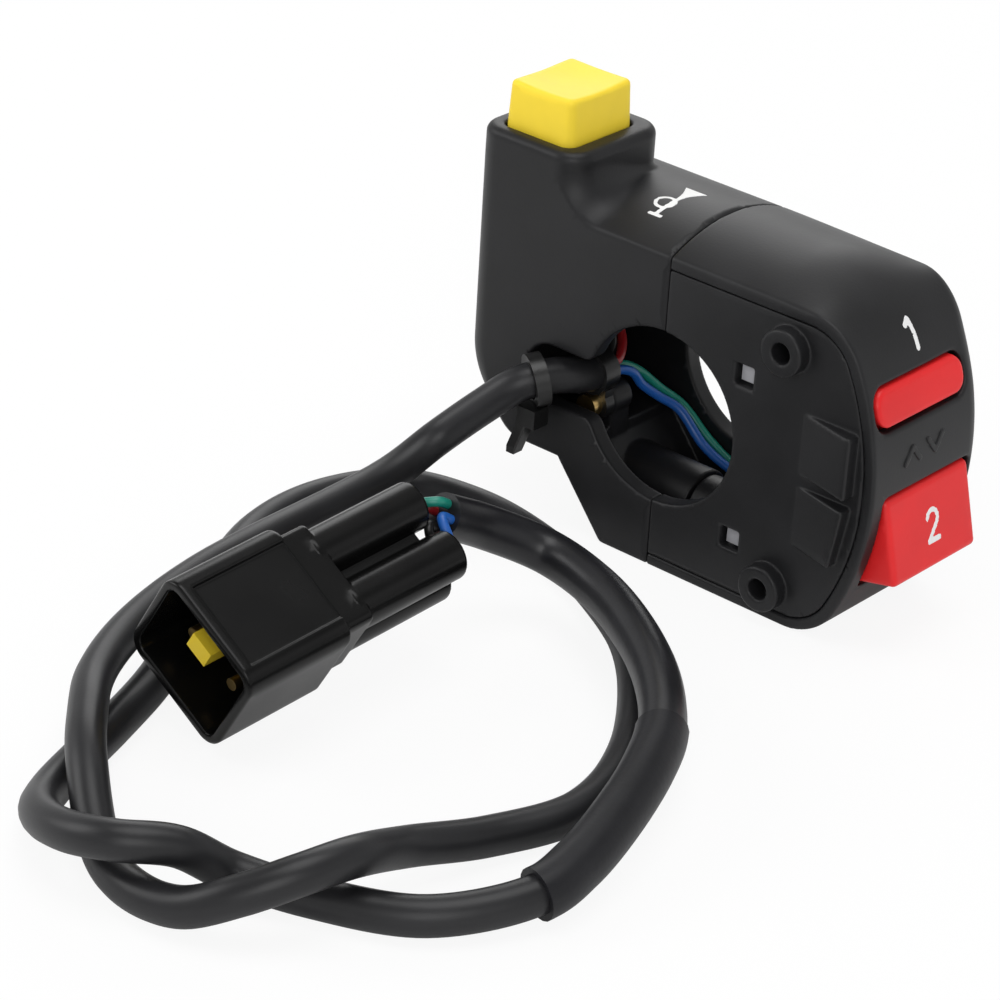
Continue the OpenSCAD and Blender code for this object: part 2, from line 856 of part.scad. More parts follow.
// Two red faces on one rocking body, with the click housing at the back
module mode_rocker() {
    color(red_plastic)
        difference() {
            union() {
                box([web_back, -web_y, wedge_low + web_step], [web_front, web_y, bar_high - web_step]);
                intersection() {
                    box([pivot_x, bar_near, bar_low], [mode_len, bar_far, bar_high]);
                    rod_y([end_x, bar_near, end_mid], end_r + bar_proud, bar_far - bar_near, $fn = fine);
                }
                along_bar(-wedge_y, wedge_y)
                    polygon([[web_front, wedge_high], [wedge_out_top, wedge_high],
                        [wedge_out_low, wedge_tip], [web_front, wedge_low]]);
                rod_y([pivot_x, -web_y, pivot_z], hub_r, 2 * web_y);
                translate([pivot_x, 0, pivot_z])
                    rotate([0, -90 - detent_tilt, 0])
                        cylinder(r = detent_boss_r, h = detent_boss_len);
            }
            rod_y([pivot_x, bar_near, pivot_z], rocker_bore_r, bar_far - bar_near);
            translate([pivot_x, 0, pivot_z])
                rotate([0, -90 - detent_tilt, 0])
                    translate([0, 0, detent_bore_start])
                        cylinder(r = detent_bore_r, h = detent_boss_len);
        }
}

module rocker_pin() {
    color(steel)
        rod_y([pivot_x, inner_near + room, pivot_z], pin_r, 2 * (inner_far - room));
}

module detent_plunger() {
    color(nylon)
        translate([pivot_x, 0, pivot_z])
            rotate([0, -90 - detent_tilt, 0]) {
                translate([0, 0, plunger_start])
                    cylinder(r = plunger_r, h = plunger_tip - plunger_r - plunger_start);
                translate([0, 0, plunger_tip - plunger_r])
                    sphere(plunger_r);
            }
}

module detent_spring() {
    color(steel)
        translate([pivot_x, 0, pivot_z])
            rotate([0, -90 - detent_tilt, 0])
                coil(detent_spring_r, detent_wire_r, detent_bore_start + room, plunger_start - room,
                    detent_turns);
}

// Plate that tips about two small trunnions
module mode_contact() {
    color(brass) {
        translate([seesaw_x, 0, pivot_z])
            rotate([0, seesaw_tilt, 0])
                cube([seesaw_t, 2 * seesaw_y, 2 * seesaw_half], center = true);
        for (side = [-1, 1])
            rod_y([seesaw_x, side > 0 ? seesaw_y - over : -trunnion_y, pivot_z], trunnion_r,
                trunnion_y - seesaw_y + over);
    }
}

// Frame of the rocker switch: back plate, two ears for the pin, flange on the far wall
module mode_switch_base() {
    ear_near = inner_near + room;
    color(nylon)
        difference() {
            union() {
                box([base_x, -ear_in, pivot_z - base_half], [base_front, inner_far, pivot_z + base_half]);
                box([base_x, ear_near, pivot_z - ear_half], [ear_x, -ear_in, pivot_z + ear_half]);
                box([base_x, ear_near, pivot_z - ear_half], [base_front, 0, pivot_z + ear_half]);
                box([base_x, ear_in, pivot_z - ear_half], [ear_x, inner_far, pivot_z + ear_half]);
                box([base_x, inner_far - flange_t, pivot_z - flange_half],
                    [flange_x, inner_far, pivot_z + flange_half]);
                rod_x([base_front - over, 0, pivot_z + stud_off], stud_r, stud_x - base_front + over);
            }
            rod_y([pivot_x, near, pivot_z], pin_r + fit, depth);
            rod_y([seesaw_x, -trunnion_y - room, pivot_z], trunnion_r + fit, 2 * (trunnion_y + room));
            for (p = mode_screws)
                rod_y([p[0], 0, p[1]], small_screw_r + slip, depth);
            rod_x([0, -tab_y, pivot_z - stud_off], rivet_shank_r + fit, mode_len);
            rod_x([0, tab_y, pivot_z], rivet_shank_r + fit, mode_len);
        }
}

module mode_base_screws() {
    head_y = inner_far - flange_t;
    color(steel)
        for (p = mode_screws) {
            rod_y([p[0], head_y - small_head_h, p[1]], small_head_r, small_head_h);
            rod_y([p[0], head_y - over, p[1]], small_screw_r, mode_screw_len);
        }
}

// Riveted contact and the knife under the moving contact, each with a solder tab
module mode_terminals() {
    shank_len = base_front - tab_x + over;
    color(brass) {
        rod_x([tab_x, -tab_y, pivot_z - stud_off], rivet_shank_r, shank_len);
        rod_x([base_front, -tab_y, pivot_z - stud_off], rivet_r, stud_x - base_front);
        box([tab_x, -tab_y - tab_half, tab_low], [base_x, -tab_y + tab_half, pivot_z - stud_off + tab_half]);
        rod_x([tab_x, tab_y, pivot_z], rivet_shank_r, shank_len);
        box([base_front, -seesaw_y, pivot_z - knife_half], [knife_x, seesaw_y, pivot_z + knife_half]);
        box([tab_x, tab_y - tab_half, tab_low], [base_x, tab_y + tab_half, pivot_z + tab_half]);
    }
}

// Ring round the cable end with a screw tab below it
module cord_clip() {
    hole_len = clip_far - clip_near + 2 * over;
    color(black_plastic)
        difference() {
            union() {
                rod_y([clip_x, clip_near, clip_z], clip_r, clip_far - clip_near);
                rod_y([clip_x, clip_far - clip_t, clip_screw_z], clip_post_r, clip_t);
                box([clip_x - clip_web_half, clip_far - clip_t, clip_screw_z],
                    [clip_x + clip_web_half, clip_far, clip_z - cable_d / 2]);
            }
            rod_y([clip_x, clip_near - over, clip_z], cable_d / 2 + fit, hole_len);
            rod_y([clip_x, clip_near - over, clip_screw_z], small_screw_r + slip, hole_len);
        }
}

module cord_clip_screw() {
    seat = clip_far - clip_t;
    color(brass) {
        rod_y([clip_x, seat - small_head_h, clip_screw_z], clip_head_r, small_head_h);
        rod_y([clip_x, seat - over, clip_screw_z], small_screw_r, clip_screw_len);
    }
}

// Band round the cable with its head and cut tail
module cable_tie() {
    band_r = cable_d / 2 + tie_gap;
    color(black_plastic) {
        translate(tie_at)
            rotate(tie_turn)
                difference() {
                    rod_y([0, -tie_w / 2, 0], band_r + tie_t, tie_w);
                    rod_y([0, -tie_w, 0], band_r, 2 * tie_w);
                }
        box(tie_at + tie_head_low, tie_at + tie_head_high);
        hull()
            for (end = [tie_tail_in, tie_tail_out])
                translate(tie_at + end)
                    cube(tie_tail, center = true);
    }
}

// One wire from its place in the sheath along its route to a given end
module wire(slot, route, end, up) {
    start = [clip_x + slot[0] * wire_off, cable_route[0][1], clip_z + slot[1] * wire_off];
    lead = start + [0, wire_lead, 0];
    path = concat([start, lead], route, end);
    tube(path, 0, len(path) - 1, wire_d / 2, wire_sides, up);
}

module blue_wire() {
    tab = [tab_x - wire_d / 2, tab_y, tab_low + 1];
    color(blue)
        wire([1, -1], blue_route, [tab - [0, 0, tab_drop], tab + [0, 0, tab_rise]], mode_wire_up);
}

module green_wire() {
    tab = [tab_x - wire_d / 2, -tab_y, tab_low + 1];
    color(green)
        wire([-1, -1], green_route, [tab - [0, 0, tab_drop / 2], tab + [0, 0, tab_rise]], mode_wire_up);
}

module red_wire() {
    post = [button_x, button_y + contact_pitch, contact_low];
    color(dark_red)
        wire([1, 1], red_route, [post - [0, 0, post_rise], post], horn_wire_up);
}

module black_wire() {
    post = [button_x, button_y - contact_pitch, contact_low];
    color(wire_black)
        wire([-1, 1], black_route, [post - [0, 0, post_rise], post], horn_wire_up);
}

module main_cable() {
    color(black_plastic)
        tube(whole_route, 0, shrink_first, cable_d / 2, cable_sides, upright);
}

module heat_shrink_sleeve() {
    color(black_plastic)
        tube(whole_route, shrink_first, sleeve_first, shrink_d / 2, cable_sides, upright);
}

module connector_sleeve() {
    color(black_plastic)
        tube(whole_route, sleeve_first, route_last, sleeve_d / 2, cable_sides, upright);
}

// Places its children in the plug's own frame: mouth at the origin, rear along +Y
module in_plug() {
    translate(plug_at)
        rotate([0, 0, plug_yaw])
            rotate([plug_pitch, 0, 0])
                rotate([0, plug_roll, 0])
                    children();
}

function turn_x(a, p) = [p[0], p[1] * cos(a) - p[2] * sin(a), p[1] * sin(a) + p[2] * cos(a)];
function turn_y(a, p) = [p[0] * cos(a) + p[2] * sin(a), p[1], p[2] * cos(a) - p[0] * sin(a)];
function turn_z(a, p) = [p[0] * cos(a) - p[1] * sin(a), p[0] * sin(a) + p[1] * cos(a), p[2]];
function from_plug(p) = plug_at + turn_z(plug_yaw, turn_x(plug_pitch, turn_y(plug_roll, p)));
function tube_at(k, y) =
    [tube_mid[0] + tube_signs[k][0] * tube_x, y, tube_mid[1] + tube_signs[k][1] * tube_z];

module connector_housing() {
    back = plug_len + neck_len;
    color(black_plastic)
        in_plug()
            difference() {
                union() {
                    along_bar(0, plug_len)
                        round_rect(plug_w, plug_h, plug_r);
                    along_bar(plug_len - over, back)
                        round_rect(neck_w, neck_h, neck_r);
                    for (k = [0:3])
                        rod_y(tube_at(k, back - over), tube_r, tube_len + over);
                    box(tube_at(2, back - over), tube_at(1, tail_start - tube_web_end));
                }
                along_bar(-over, plug_cavity)
                    round_rect(plug_w - 2 * plug_wall, plug_h - 2 * plug_wall, plug_r - plug_wall);
                box([rail_w - plug_w / 2, collar, plug_h / 2 - rail_h],
                    [plug_w / 2 - rail_w, plug_len + over, plug_h]);
                for (k = [0:3]) {
                    rod_y(tube_at(k, plug_cavity - over), plug_pin_r + fit, back);
                    rod_y(tube_at(k, tail_start - seal_len), tube_bore_r, seal_len + over);
                }
            }
}

module connector_lock() {
    reach = plug_cavity - lock_start;
    color(yellow_plastic)
        in_plug()
            difference() {
                box([lock_left, lock_start, lock_low], [lock_right, plug_cavity, lock_high]);
                translate([lock_left - over, lock_start, lock_low])
                    rotate([lock_slope, 0, 0])
                        translate([0, -reach, -reach])
                            cube([lock_right - lock_left + 2 * over, reach, 2 * reach]);
            }
}

module connector_pins() {
    color(brass)
        in_plug()
            for (k = [0:3])
                rod_y(tube_at(k, pin_start), plug_pin_r, tail_start - seal_len - pin_start - over);
}

module connector_seals() {
    color(seal_grey)
        in_plug()
            for (k = [0:3])
                difference() {
                    rod_y(tube_at(k, tail_start - seal_len), tube_bore_r, seal_len - over);
                    rod_y(tube_at(k, tail_start - seal_len - over), wire_d / 2 + fit, 2 * seal_len);
                }
}

// One wire tail from the plug's back into the end of the soft sleeve
module tail(k, slot) {
    spread = ring(whole_route, route_last, tail_spread, len(tube_signs), upright);
    out = heading(whole_route, route_last);
    start = from_plug(tube_at(k, tail_start - seal_len / 2));
    clear = from_plug(tube_at(k, tail_start + tail_clear));
    path = [start, clear, spread[slot] + tail_stand * out, spread[slot]];
    tube(path, 0, len(path) - 1, wire_d / 2, wire_sides, upright);
}

module tail_green() {
    color(green)
        tail(0, 1);
}

module tail_blue() {
    color(blue)
        tail(1, 2);
}

module tail_red() {
    color(dark_red)
        tail(2, 0);
}

module tail_black() {
    color(wire_black)
        tail(3, 3);
}

horn_half_shell();
mode_half_shell();
mode_side_cover();
cover_pegs();
upper_clamp_screw();
lower_clamp_screw();
clamp_inserts();
horn_button();
horn_contact_bridge();
horn_spring();
horn_contacts();
horn_contact_base();
horn_base_screws();
mode_rocker();
rocker_pin();
detent_plunger();
detent_spring();
mode_contact();
mode_switch_base();
mode_base_screws();
mode_terminals();
cord_clip();
cord_clip_screw();
cable_tie();
blue_wire();
green_wire();
red_wire();
black_wire();
main_cable();
heat_shrink_sleeve();
connector_sleeve();
connector_housing();
connector_lock();
connector_pins();
connector_seals();
tail_green();
tail_blue();
tail_red();
tail_black();
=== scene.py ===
"""Looks of a handlebar switch cluster: clamp, push button, rocker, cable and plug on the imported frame."""
import functools
import json
import math

import bpy
import numpy as np
import openvdb
from mathutils import Matrix, Vector


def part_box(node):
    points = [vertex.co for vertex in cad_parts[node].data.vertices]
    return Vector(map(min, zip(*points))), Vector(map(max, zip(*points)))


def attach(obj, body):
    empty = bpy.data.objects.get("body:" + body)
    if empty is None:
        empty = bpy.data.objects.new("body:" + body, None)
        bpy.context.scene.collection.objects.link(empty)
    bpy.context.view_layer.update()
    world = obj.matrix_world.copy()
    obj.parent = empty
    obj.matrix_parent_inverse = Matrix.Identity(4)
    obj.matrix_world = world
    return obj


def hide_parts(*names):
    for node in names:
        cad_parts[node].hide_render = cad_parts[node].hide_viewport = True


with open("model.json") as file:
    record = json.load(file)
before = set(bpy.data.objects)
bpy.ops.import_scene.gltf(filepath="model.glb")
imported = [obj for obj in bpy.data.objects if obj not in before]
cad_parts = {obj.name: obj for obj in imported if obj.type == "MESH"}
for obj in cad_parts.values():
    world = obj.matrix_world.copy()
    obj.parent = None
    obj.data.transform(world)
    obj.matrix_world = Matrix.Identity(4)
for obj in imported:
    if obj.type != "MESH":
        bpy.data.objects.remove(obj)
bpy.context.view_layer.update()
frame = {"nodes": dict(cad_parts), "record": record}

# Sizes below are in millimetres; objects are made in metres
MM = 0.001


def box_mm(node):
    low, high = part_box(node)
    return np.array(low) / MM, np.array(high) / MM


# Main sizes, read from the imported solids
HORN_LOW, HORN_HIGH = box_mm("horn_half_shell")
MODE_LOW, MODE_HIGH = box_mm("mode_half_shell")
NEAR, FAR = MODE_LOW[1], MODE_HIGH[1]
BOTTOM = MODE_LOW[2]
CROWN_TOP = MODE_HIGH[2]
MODE_END = MODE_HIGH[0]
HORN_END = HORN_LOW[0]
TOWER_TOP = HORN_HIGH[2]
BAR_R = frame["record"]["mounts"][0]["dims"]["r_mm"]
FLOOR = BOTTOM

# Camera of the photograph
CAMERA_AT = Vector((242.75, -332.8, 200.04)) * MM
AZIMUTH = math.radians(39.6)
ELEVATION = math.radians(27.82)
ROLL = math.radians(3.55)
FOCAL_PX = 3780.85
IMAGE_PX = 1000
SENSOR_MM = 36
CLIP_START = 0.01

# Walls and roundings of the clamp
WALL = 2.5
RIM = 1.5
SIDE_TOP = 20.7
CROWN_R = ((FAR * FAR) + (CROWN_TOP - SIDE_TOP) ** 2) / (2 * (CROWN_TOP - SIDE_TOP))
END_R = 35
END_MID = 0.5
CORNER_R = 8
EDGE_R = 0.4
FAR_EDGE_R = 3
FAR_FALL = 0.3
BORE_EDGE_R = 0.3
SPLIT_GAP = 0.02
SPLIT_EDGE_R = 0.12
COVER_GAP = 0.05
ROOM_R = 0.6
WINDOW_EDGE_R = 0.35

# Usual roundings of small edges
SHARP_R, FINE_R, LIP_R, SOFT_R = 0.1, 0.2, 0.25, 0.3

# How far forms that meet run into each other, and how far cutting forms run past what they cut
LAP, PAST = 1, 5

# Steps of the grids that skins are drawn on, and the steps left free round a form
FINE_STEP, SMALL_STEP = 0.22, 0.2
SPARE_STEPS = 4

# Cable route, as in the part's source
CABLE_D = 4.5
SHRINK_D = 6
SLEEVE_D = 5.4
WIRE_D = 1.2
CLIP_X = -14.2
CLIP_Z = -0.8
CABLE_ROUTE = [
    (CLIP_X, -3.6, CLIP_Z), (CLIP_X, -7, CLIP_Z), (-16.4, -10.9, -0.5),
    (-18.6, -14.4, -1.2), (-22, -17, -4.6), (-26, -20.5, -9.2), (-27.2, -28, -12.2), (-26, -61, -12.7),
    (-22.9, -75, -12.9), (-17.7, -85.5, -12.7), (-12.2, -91.9, -12.4), (-5.9, -98, -13.1),
    (3.5, -104.5, -17.4), (10.4, -106.7, -17.7), (16.8, -106.2, -16.9), (22.2, -103.3, -14.2),
    (25.8, -98.4, -12.3), (27.1, -92.2, -12.4), (26.6, -83, -15.5), (29.3, -73.2, -17.4),
    (32.3, -62.4, -17.7), (28.7, -49.7, -17.7), (15.5, -32.5, -17.7), (3.2, -24.4, -17.7),
    (-9.4, -19.5, -17.7), (-21.2, -18.1, -17.7), (-31, -21, -17.7), (-35.7, -29.7, -17.7),
    (-35.5, -41.5, -17.7), (-26.5, -61, -17.7), (-18.5, -75.5, -17.7), (-14.5, -85.7, -17.7),
    (-9.5, -100, -17.7), (-4.7, -105.7, -15.8), (2.3, -108.4, -13.5), (8.5, -107.6, -12.1),
    (12.8, -103, -12.9), (16.1, -98.4, -16.5), (23.7, -94.6, -17.7), (34.7, -88.8, -17.5),
    (40.7, -78.7, -16.7)]
SHRINK_ROUTE = [(40.8, -72.3, -15.8), (39, -63.5, -14.4), (36.5, -55.9, -13.2), (33.4, -49.8, -12.5)]
SLEEVE_ROUTE = [(27.2, -42.9, -12), (19.1, -36.8, -11.8), (8.4, -31.2, -11.9), (-0.3, -30, -11.2),
                (-5, -35.6, -7.8), (-6, -42.2, -4.2)]


def make_camera():
    data = bpy.data.cameras.new("camera")
    data.sensor_width = SENSOR_MM
    data.lens = FOCAL_PX / IMAGE_PX * SENSOR_MM
    data.clip_start = CLIP_START
    look = Vector((-math.sin(AZIMUTH) * math.cos(ELEVATION), math.cos(AZIMUTH) * math.cos(ELEVATION),
                   -math.sin(ELEVATION)))
    level = Vector((math.cos(AZIMUTH), math.sin(AZIMUTH), 0))
    upright = level.cross(look)
    right = level * math.cos(ROLL) + upright * math.sin(ROLL)
    up = upright * math.cos(ROLL) - level * math.sin(ROLL)
    turn = Matrix((right, up, -look)).transposed().to_4x4()
    camera = bpy.data.objects.new("camera", data)
    camera.matrix_world = Matrix.Translation(CAMERA_AT) @ turn
    bpy.context.scene.collection.objects.link(camera)
    bpy.context.scene.camera = camera


make_camera()


# Materials: a slow cloud of tint and roughness, and fine pits
CLOUD_SCALE, CLOUD_DETAIL = 120, 6
CLOUD_LOW, CLOUD_HIGH = 0.3, 0.7
ROUGH_SPREAD = 0.06
PIT_DETAIL, PIT_STRENGTH = 3, 0.5


def node_tree(name):
    material = bpy.data.materials.new(name)
    material.use_nodes = True
    return material, material.node_tree.nodes, material.node_tree.links


def noise(nodes, links, place, scale, detail):
    cloud = nodes.new("ShaderNodeTexNoise")
    cloud.inputs["Scale"].default_value = scale
    cloud.inputs["Detail"].default_value = detail
    links.new(place.outputs["Object"], cloud.inputs["Vector"])
    return cloud.outputs["Fac"]


def add_tint(nodes, links, shader, cloud, colour, spread):
    tint = nodes.new("ShaderNodeValToRGB")
    dark, light = tint.color_ramp.elements
    dark.position, light.position = CLOUD_LOW, CLOUD_HIGH
    dark.color = [c * (1 - spread) for c in colour] + [1]
    light.color = [min(1, c * (1 + spread)) for c in colour] + [1]
    links.new(cloud, tint.inputs["Fac"])
    links.new(tint.outputs["Color"], shader.inputs["Base Color"])


def add_roughness(nodes, links, shader, cloud, roughness):
    rough = nodes.new("ShaderNodeMapRange")
    rough.inputs["To Min"].default_value = roughness - ROUGH_SPREAD
    rough.inputs["To Max"].default_value = roughness + ROUGH_SPREAD
    links.new(cloud, rough.inputs["Value"])
    links.new(rough.outputs["Result"], shader.inputs["Roughness"])


def add_pits(nodes, links, shader, place, grain, depth):
    pits = noise(nodes, links, place, 1 / (grain * MM), PIT_DETAIL)
    bump = nodes.new("ShaderNodeBump")
    bump.inputs["Strength"].default_value = PIT_STRENGTH
    bump.inputs["Distance"].default_value = depth * MM
    links.new(pits, bump.inputs["Height"])
    links.new(bump.outputs["Normal"], shader.inputs["Normal"])


def moulded(name, colour, roughness, grain=0.35, depth=0.02, spread=0.25, metallic=0.0, specular=0.5):
    """Solid-coloured material with a fine grain: size and depth of the grain in millimetres."""
    material, nodes, links = node_tree(name)
    shader = nodes["Principled BSDF"]
    shader.inputs["Metallic"].default_value = metallic
    shader.inputs["Specular IOR Level"].default_value = specular
    place = nodes.new("ShaderNodeTexCoord")
    cloud = noise(nodes, links, place, CLOUD_SCALE, CLOUD_DETAIL)
    add_tint(nodes, links, shader, cloud, colour, spread)
    add_roughness(nodes, links, shader, cloud, roughness)
    add_pits(nodes, links, shader, place, grain, depth)
    return material


SLEEVE_BLACK = (0.011, 0.011, 0.013)
SHELL_PLASTIC = moulded("shell_plastic", (0.0095, 0.0095, 0.0105), 0.45, specular=0.3)
RED_PLASTIC = moulded("red_plastic", (0.72, 0.016, 0.018), 0.4, spread=0.06, specular=0.3)
YELLOW_PLASTIC = moulded("yellow_plastic", (0.93, 0.69, 0.05), 0.4, spread=0.05, specular=0.15)
CABLE_RUBBER = moulded("cable_rubber", (0.013, 0.013, 0.0145), 0.4, grain=0.5, specular=0.35)
SHRINK_PLASTIC = moulded("shrink_plastic", SLEEVE_BLACK, 0.42, grain=0.7, depth=0.04, specular=0.25)
SLEEVE_PLASTIC = moulded("sleeve_plastic", SLEEVE_BLACK, 0.36, grain=0.6, depth=0.03, specular=0.4)
PLUG_PLASTIC = moulded("plug_plastic", (0.003, 0.003, 0.003), 0.25, grain=0.5, depth=0.01, specular=0.22)
TIE_PLASTIC = moulded("tie_plastic", (0.008, 0.008, 0.008), 0.35)
LOCK_PLASTIC = moulded("lock_plastic", (0.75, 0.55, 0.03), 0.4, spread=0.08)
NYLON = moulded("nylon", (0.62, 0.62, 0.6), 0.5, spread=0.06)
PEG_PLASTIC = moulded("peg_plastic", (0.34, 0.34, 0.36), 0.5, spread=0.08)
BRASS = moulded("brass_metal", (0.72, 0.5, 0.2), 0.3, metallic=1.0, spread=0.12)
STEEL = moulded("steel_metal", (0.55, 0.55, 0.57), 0.3, metallic=1.0, spread=0.12)
WIRE_BLUE = moulded("wire_blue_plastic", (0.012, 0.1, 0.4), 0.35, spread=0.1)
WIRE_GREEN = moulded("wire_green_plastic", (0.008, 0.22, 0.16), 0.35, spread=0.1)
WIRE_RED = moulded("wire_red_plastic", (0.3, 0.012, 0.015), 0.35, spread=0.1)
WIRE_BLACK = moulded("wire_black_plastic", (0.01, 0.01, 0.01), 0.35)
SEAL_RUBBER = moulded("seal_rubber", (0.03, 0.03, 0.03), 0.6)
WHITE_INK = moulded("white_ink", (0.8, 0.8, 0.8), 0.5, spread=0.04)

NODE_MATERIALS = {
    "cover_pegs": PEG_PLASTIC, "upper_clamp_screw": STEEL, "lower_clamp_screw": STEEL, "clamp_inserts": BRASS,
    "horn_contact_bridge": BRASS, "horn_spring": STEEL, "horn_contacts": BRASS, "horn_contact_base": NYLON,
    "horn_base_screws": STEEL, "rocker_pin": STEEL, "detent_plunger": NYLON, "detent_spring": STEEL,
    "mode_contact": BRASS, "mode_switch_base": NYLON, "mode_base_screws": STEEL, "mode_terminals": BRASS,
    "cord_clip": TIE_PLASTIC, "cord_clip_screw": BRASS, "cable_tie": TIE_PLASTIC,
    "connector_lock": LOCK_PLASTIC, "connector_pins": BRASS, "connector_seals": SEAL_RUBBER}

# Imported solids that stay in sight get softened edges
SOFTENED = ("cable_tie", "cord_clip", "cord_clip_screw", "connector_lock", "cover_pegs")
SOFT_EDGE, SOFT_SEGMENTS, SOFT_ANGLE = 0.12, 2, math.radians(40)


def set_material(thing, material):
    thing.data.materials.clear()
    thing.data.materials.append(material)


def soften(node):
    """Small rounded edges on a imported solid, without touching its mesh."""
    bevel = node.modifiers.new("soft_edges", "BEVEL")
    bevel.width = SOFT_EDGE * MM
    bevel.segments = SOFT_SEGMENTS
    bevel.limit_method = "ANGLE"
    bevel.angle_limit = SOFT_ANGLE
    bevel.use_clamp_overlap = True


def dress_nodes():
    for name, material in NODE_MATERIALS.items():
        set_material(frame["nodes"][name], material)
    for name in SOFTENED:
        soften(frame["nodes"][name])


# Distance fields: negative inside, in millimetres

def round_max(a, b, r):
    """Meet of two fields with its edge rounded to r."""
    return np.minimum(np.maximum(a, b), -r) + np.hypot(np.maximum(a + r, 0), np.maximum(b + r, 0))


def round_min(a, b, r):
    """Join of two fields with its inner corner filled to r."""
    return -round_max(-a, -b, r)


def join(*fields):
    return functools.reduce(np.minimum, fields)


def meet(*fields):
    return functools.reduce(np.maximum, fields)


def between(v, low, high):
    return meet(low - v, v - high)


def round_rect(u, v, low, high, r):
    return round_max(between(u, low[0], high[0]), between(v, low[1], high[1]), r)


def block(p, low, high, r):
    x, y, z = p
    return round_max(round_rect(x, y, low[:2], high[:2], r), between(z, low[2], high[2]), r)


def rod_x(p, y, z, radius, low, high, r=FINE_R):
    return round_max(np.hypot(p[1] - y, p[2] - z) - radius, between(p[0], low, high), r)


def rod_y(p, x, z, radius, low, high, r=FINE_R):
    return round_max(np.hypot(p[0] - x, p[2] - z) - radius, between(p[1], low, high), r)


def rod_z(p, x, y, radius, low, high, r=FINE_R):
    return round_max(np.hypot(p[0] - x, p[1] - y) - radius, between(p[2], low, high), r)


def cut(field, tool, r=FINE_R):
    return round_max(field, -tool, r)


def blend_step(v, start, end):
    t = np.clip((v - start) / (end - start), 0, 1)
    return t * t * (3 - 2 * t)


def lattice(low, high, step):
    """Coordinates of a grid that holds a box with room to spare, and the grid's first corner."""
    first = np.array(low, float) - SPARE_STEPS * step
    counts = np.ceil((np.array(high, float) + SPARE_STEPS * step - first) / step).astype(int)
    x, y, z = [(first[k] + step * np.arange(counts[k])).astype(np.float32) for k in range(3)]
    return (x[:, None, None], y[None, :, None], z[None, None, :]), first


def at_points(volume, points):
    """Values of a grid between its nodes."""
    base = np.clip(np.floor(points).astype(int), 0, np.array(volume.shape) - 2)
    part = points - base
    total = np.zeros(len(points), np.float32)
    for corner in np.ndindex(2, 2, 2):
        weight = np.prod(np.where(corner, part, 1 - part), axis=1)
        total += weight * volume[tuple((base + corner).T)]
    return total


# How far flat stretches of a skin are thinned out, and the least slope that counts
ADAPTIVITY, TINY = 0.004, 1e-6


def skin(name, field, first, step, material, matrix=None):
    """Mesh of a field's zero surface, with normals from the field."""
    field = np.ascontiguousarray(field, np.float32)
    grid = openvdb.FloatGrid()
    grid.background = 1.0
    grid.copyFromArray(field)
    points, triangles, quads = grid.convertToPolygons(isovalue=0.0, adaptivity=ADAPTIVITY)
    slope = np.stack([at_points(g, points) for g in np.gradient(field)], axis=1)
    slope /= np.maximum(np.linalg.norm(slope, axis=1, keepdims=True), TINY)
    mesh = bpy.data.meshes.new(name)
    faces = quads.tolist() + triangles.tolist()
    mesh.from_pydata(((first + points * step) * MM).tolist(), [], faces)
    mesh.polygons.foreach_set("use_smooth", np.ones(len(mesh.polygons), bool))
    mesh.validate()
    mesh.normals_split_custom_set_from_vertices(slope.tolist())
    if matrix is not None:
        mesh.transform(matrix)
    mesh.materials.append(material)
    thing = bpy.data.objects.new(name, mesh)
    bpy.context.scene.collection.objects.link(thing)
    return thing


def stand_for(piece, body, slot, *nodes):
    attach(piece, body)
    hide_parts(*nodes)


# Clamp halves

END_X = MODE_END - END_R
CROWN_Z = CROWN_TOP - CROWN_R
INNER = FAR - WALL
UPPER_SCREW = (6, 15.6)
LOWER_SCREW = (0, -15.8)


def crown(p):
    return np.hypot(p[1], np.maximum(p[2] - CROWN_Z, 0)) - CROWN_R


def barrel(p):
    return np.hypot(p[0] - END_X, p[2] - END_MID) - END_R


def corner_x(z):
    """Where the centre of a corner arc lies, for an arc that meets the barrel smoothly."""
    return END_X + math.sqrt((END_R - CORNER_R) ** 2 - (z - END_MID) ** 2)


CORNER_TOP, CORNER_LOW = SIDE_TOP - CORNER_R, BOTTOM + CORNER_R
CORNER_X = corner_x(CORNER_TOP)


def flat_profile(p):
    """Side outline of the rocker half below its crown."""
    field = np.maximum(barrel(p), between(p[2], BOTTOM, SIDE_TOP))
    for side, z in ((1, CORNER_TOP), (-1, CORNER_LOW)):
        u, v = p[0] - corner_x(z), side * (p[2] - z)
        lean = math.atan2(side * (z - END_MID), corner_x(z) - END_X)
        in_corner = np.minimum(u, v * math.cos(lean) - u * math.sin(lean)) > 0
        field = np.where(in_corner, np.hypot(u, v) - CORNER_R, field)
    return field


# Arc by which the crown runs out into the upper corner
RUN_ANGLE = math.radians(50)
RUN_LOW = CORNER_TOP + CORNER_R * math.sin(RUN_ANGLE)
RUN_R = (CROWN_TOP - RUN_LOW) / (1 - math.sin(RUN_ANGLE))
RUN_X = CORNER_X - (RUN_R - CORNER_R) * math.cos(RUN_ANGLE)
RUN_END = RUN_X + RUN_R * math.cos(RUN_ANGLE)
RISE_Z = (5, 12)

# Where the far side falls off, and where its edge gets rounder
FALL_X, FALL_Z, FAR_EDGE_X = (0, 20), (8, 18), (20, 30)


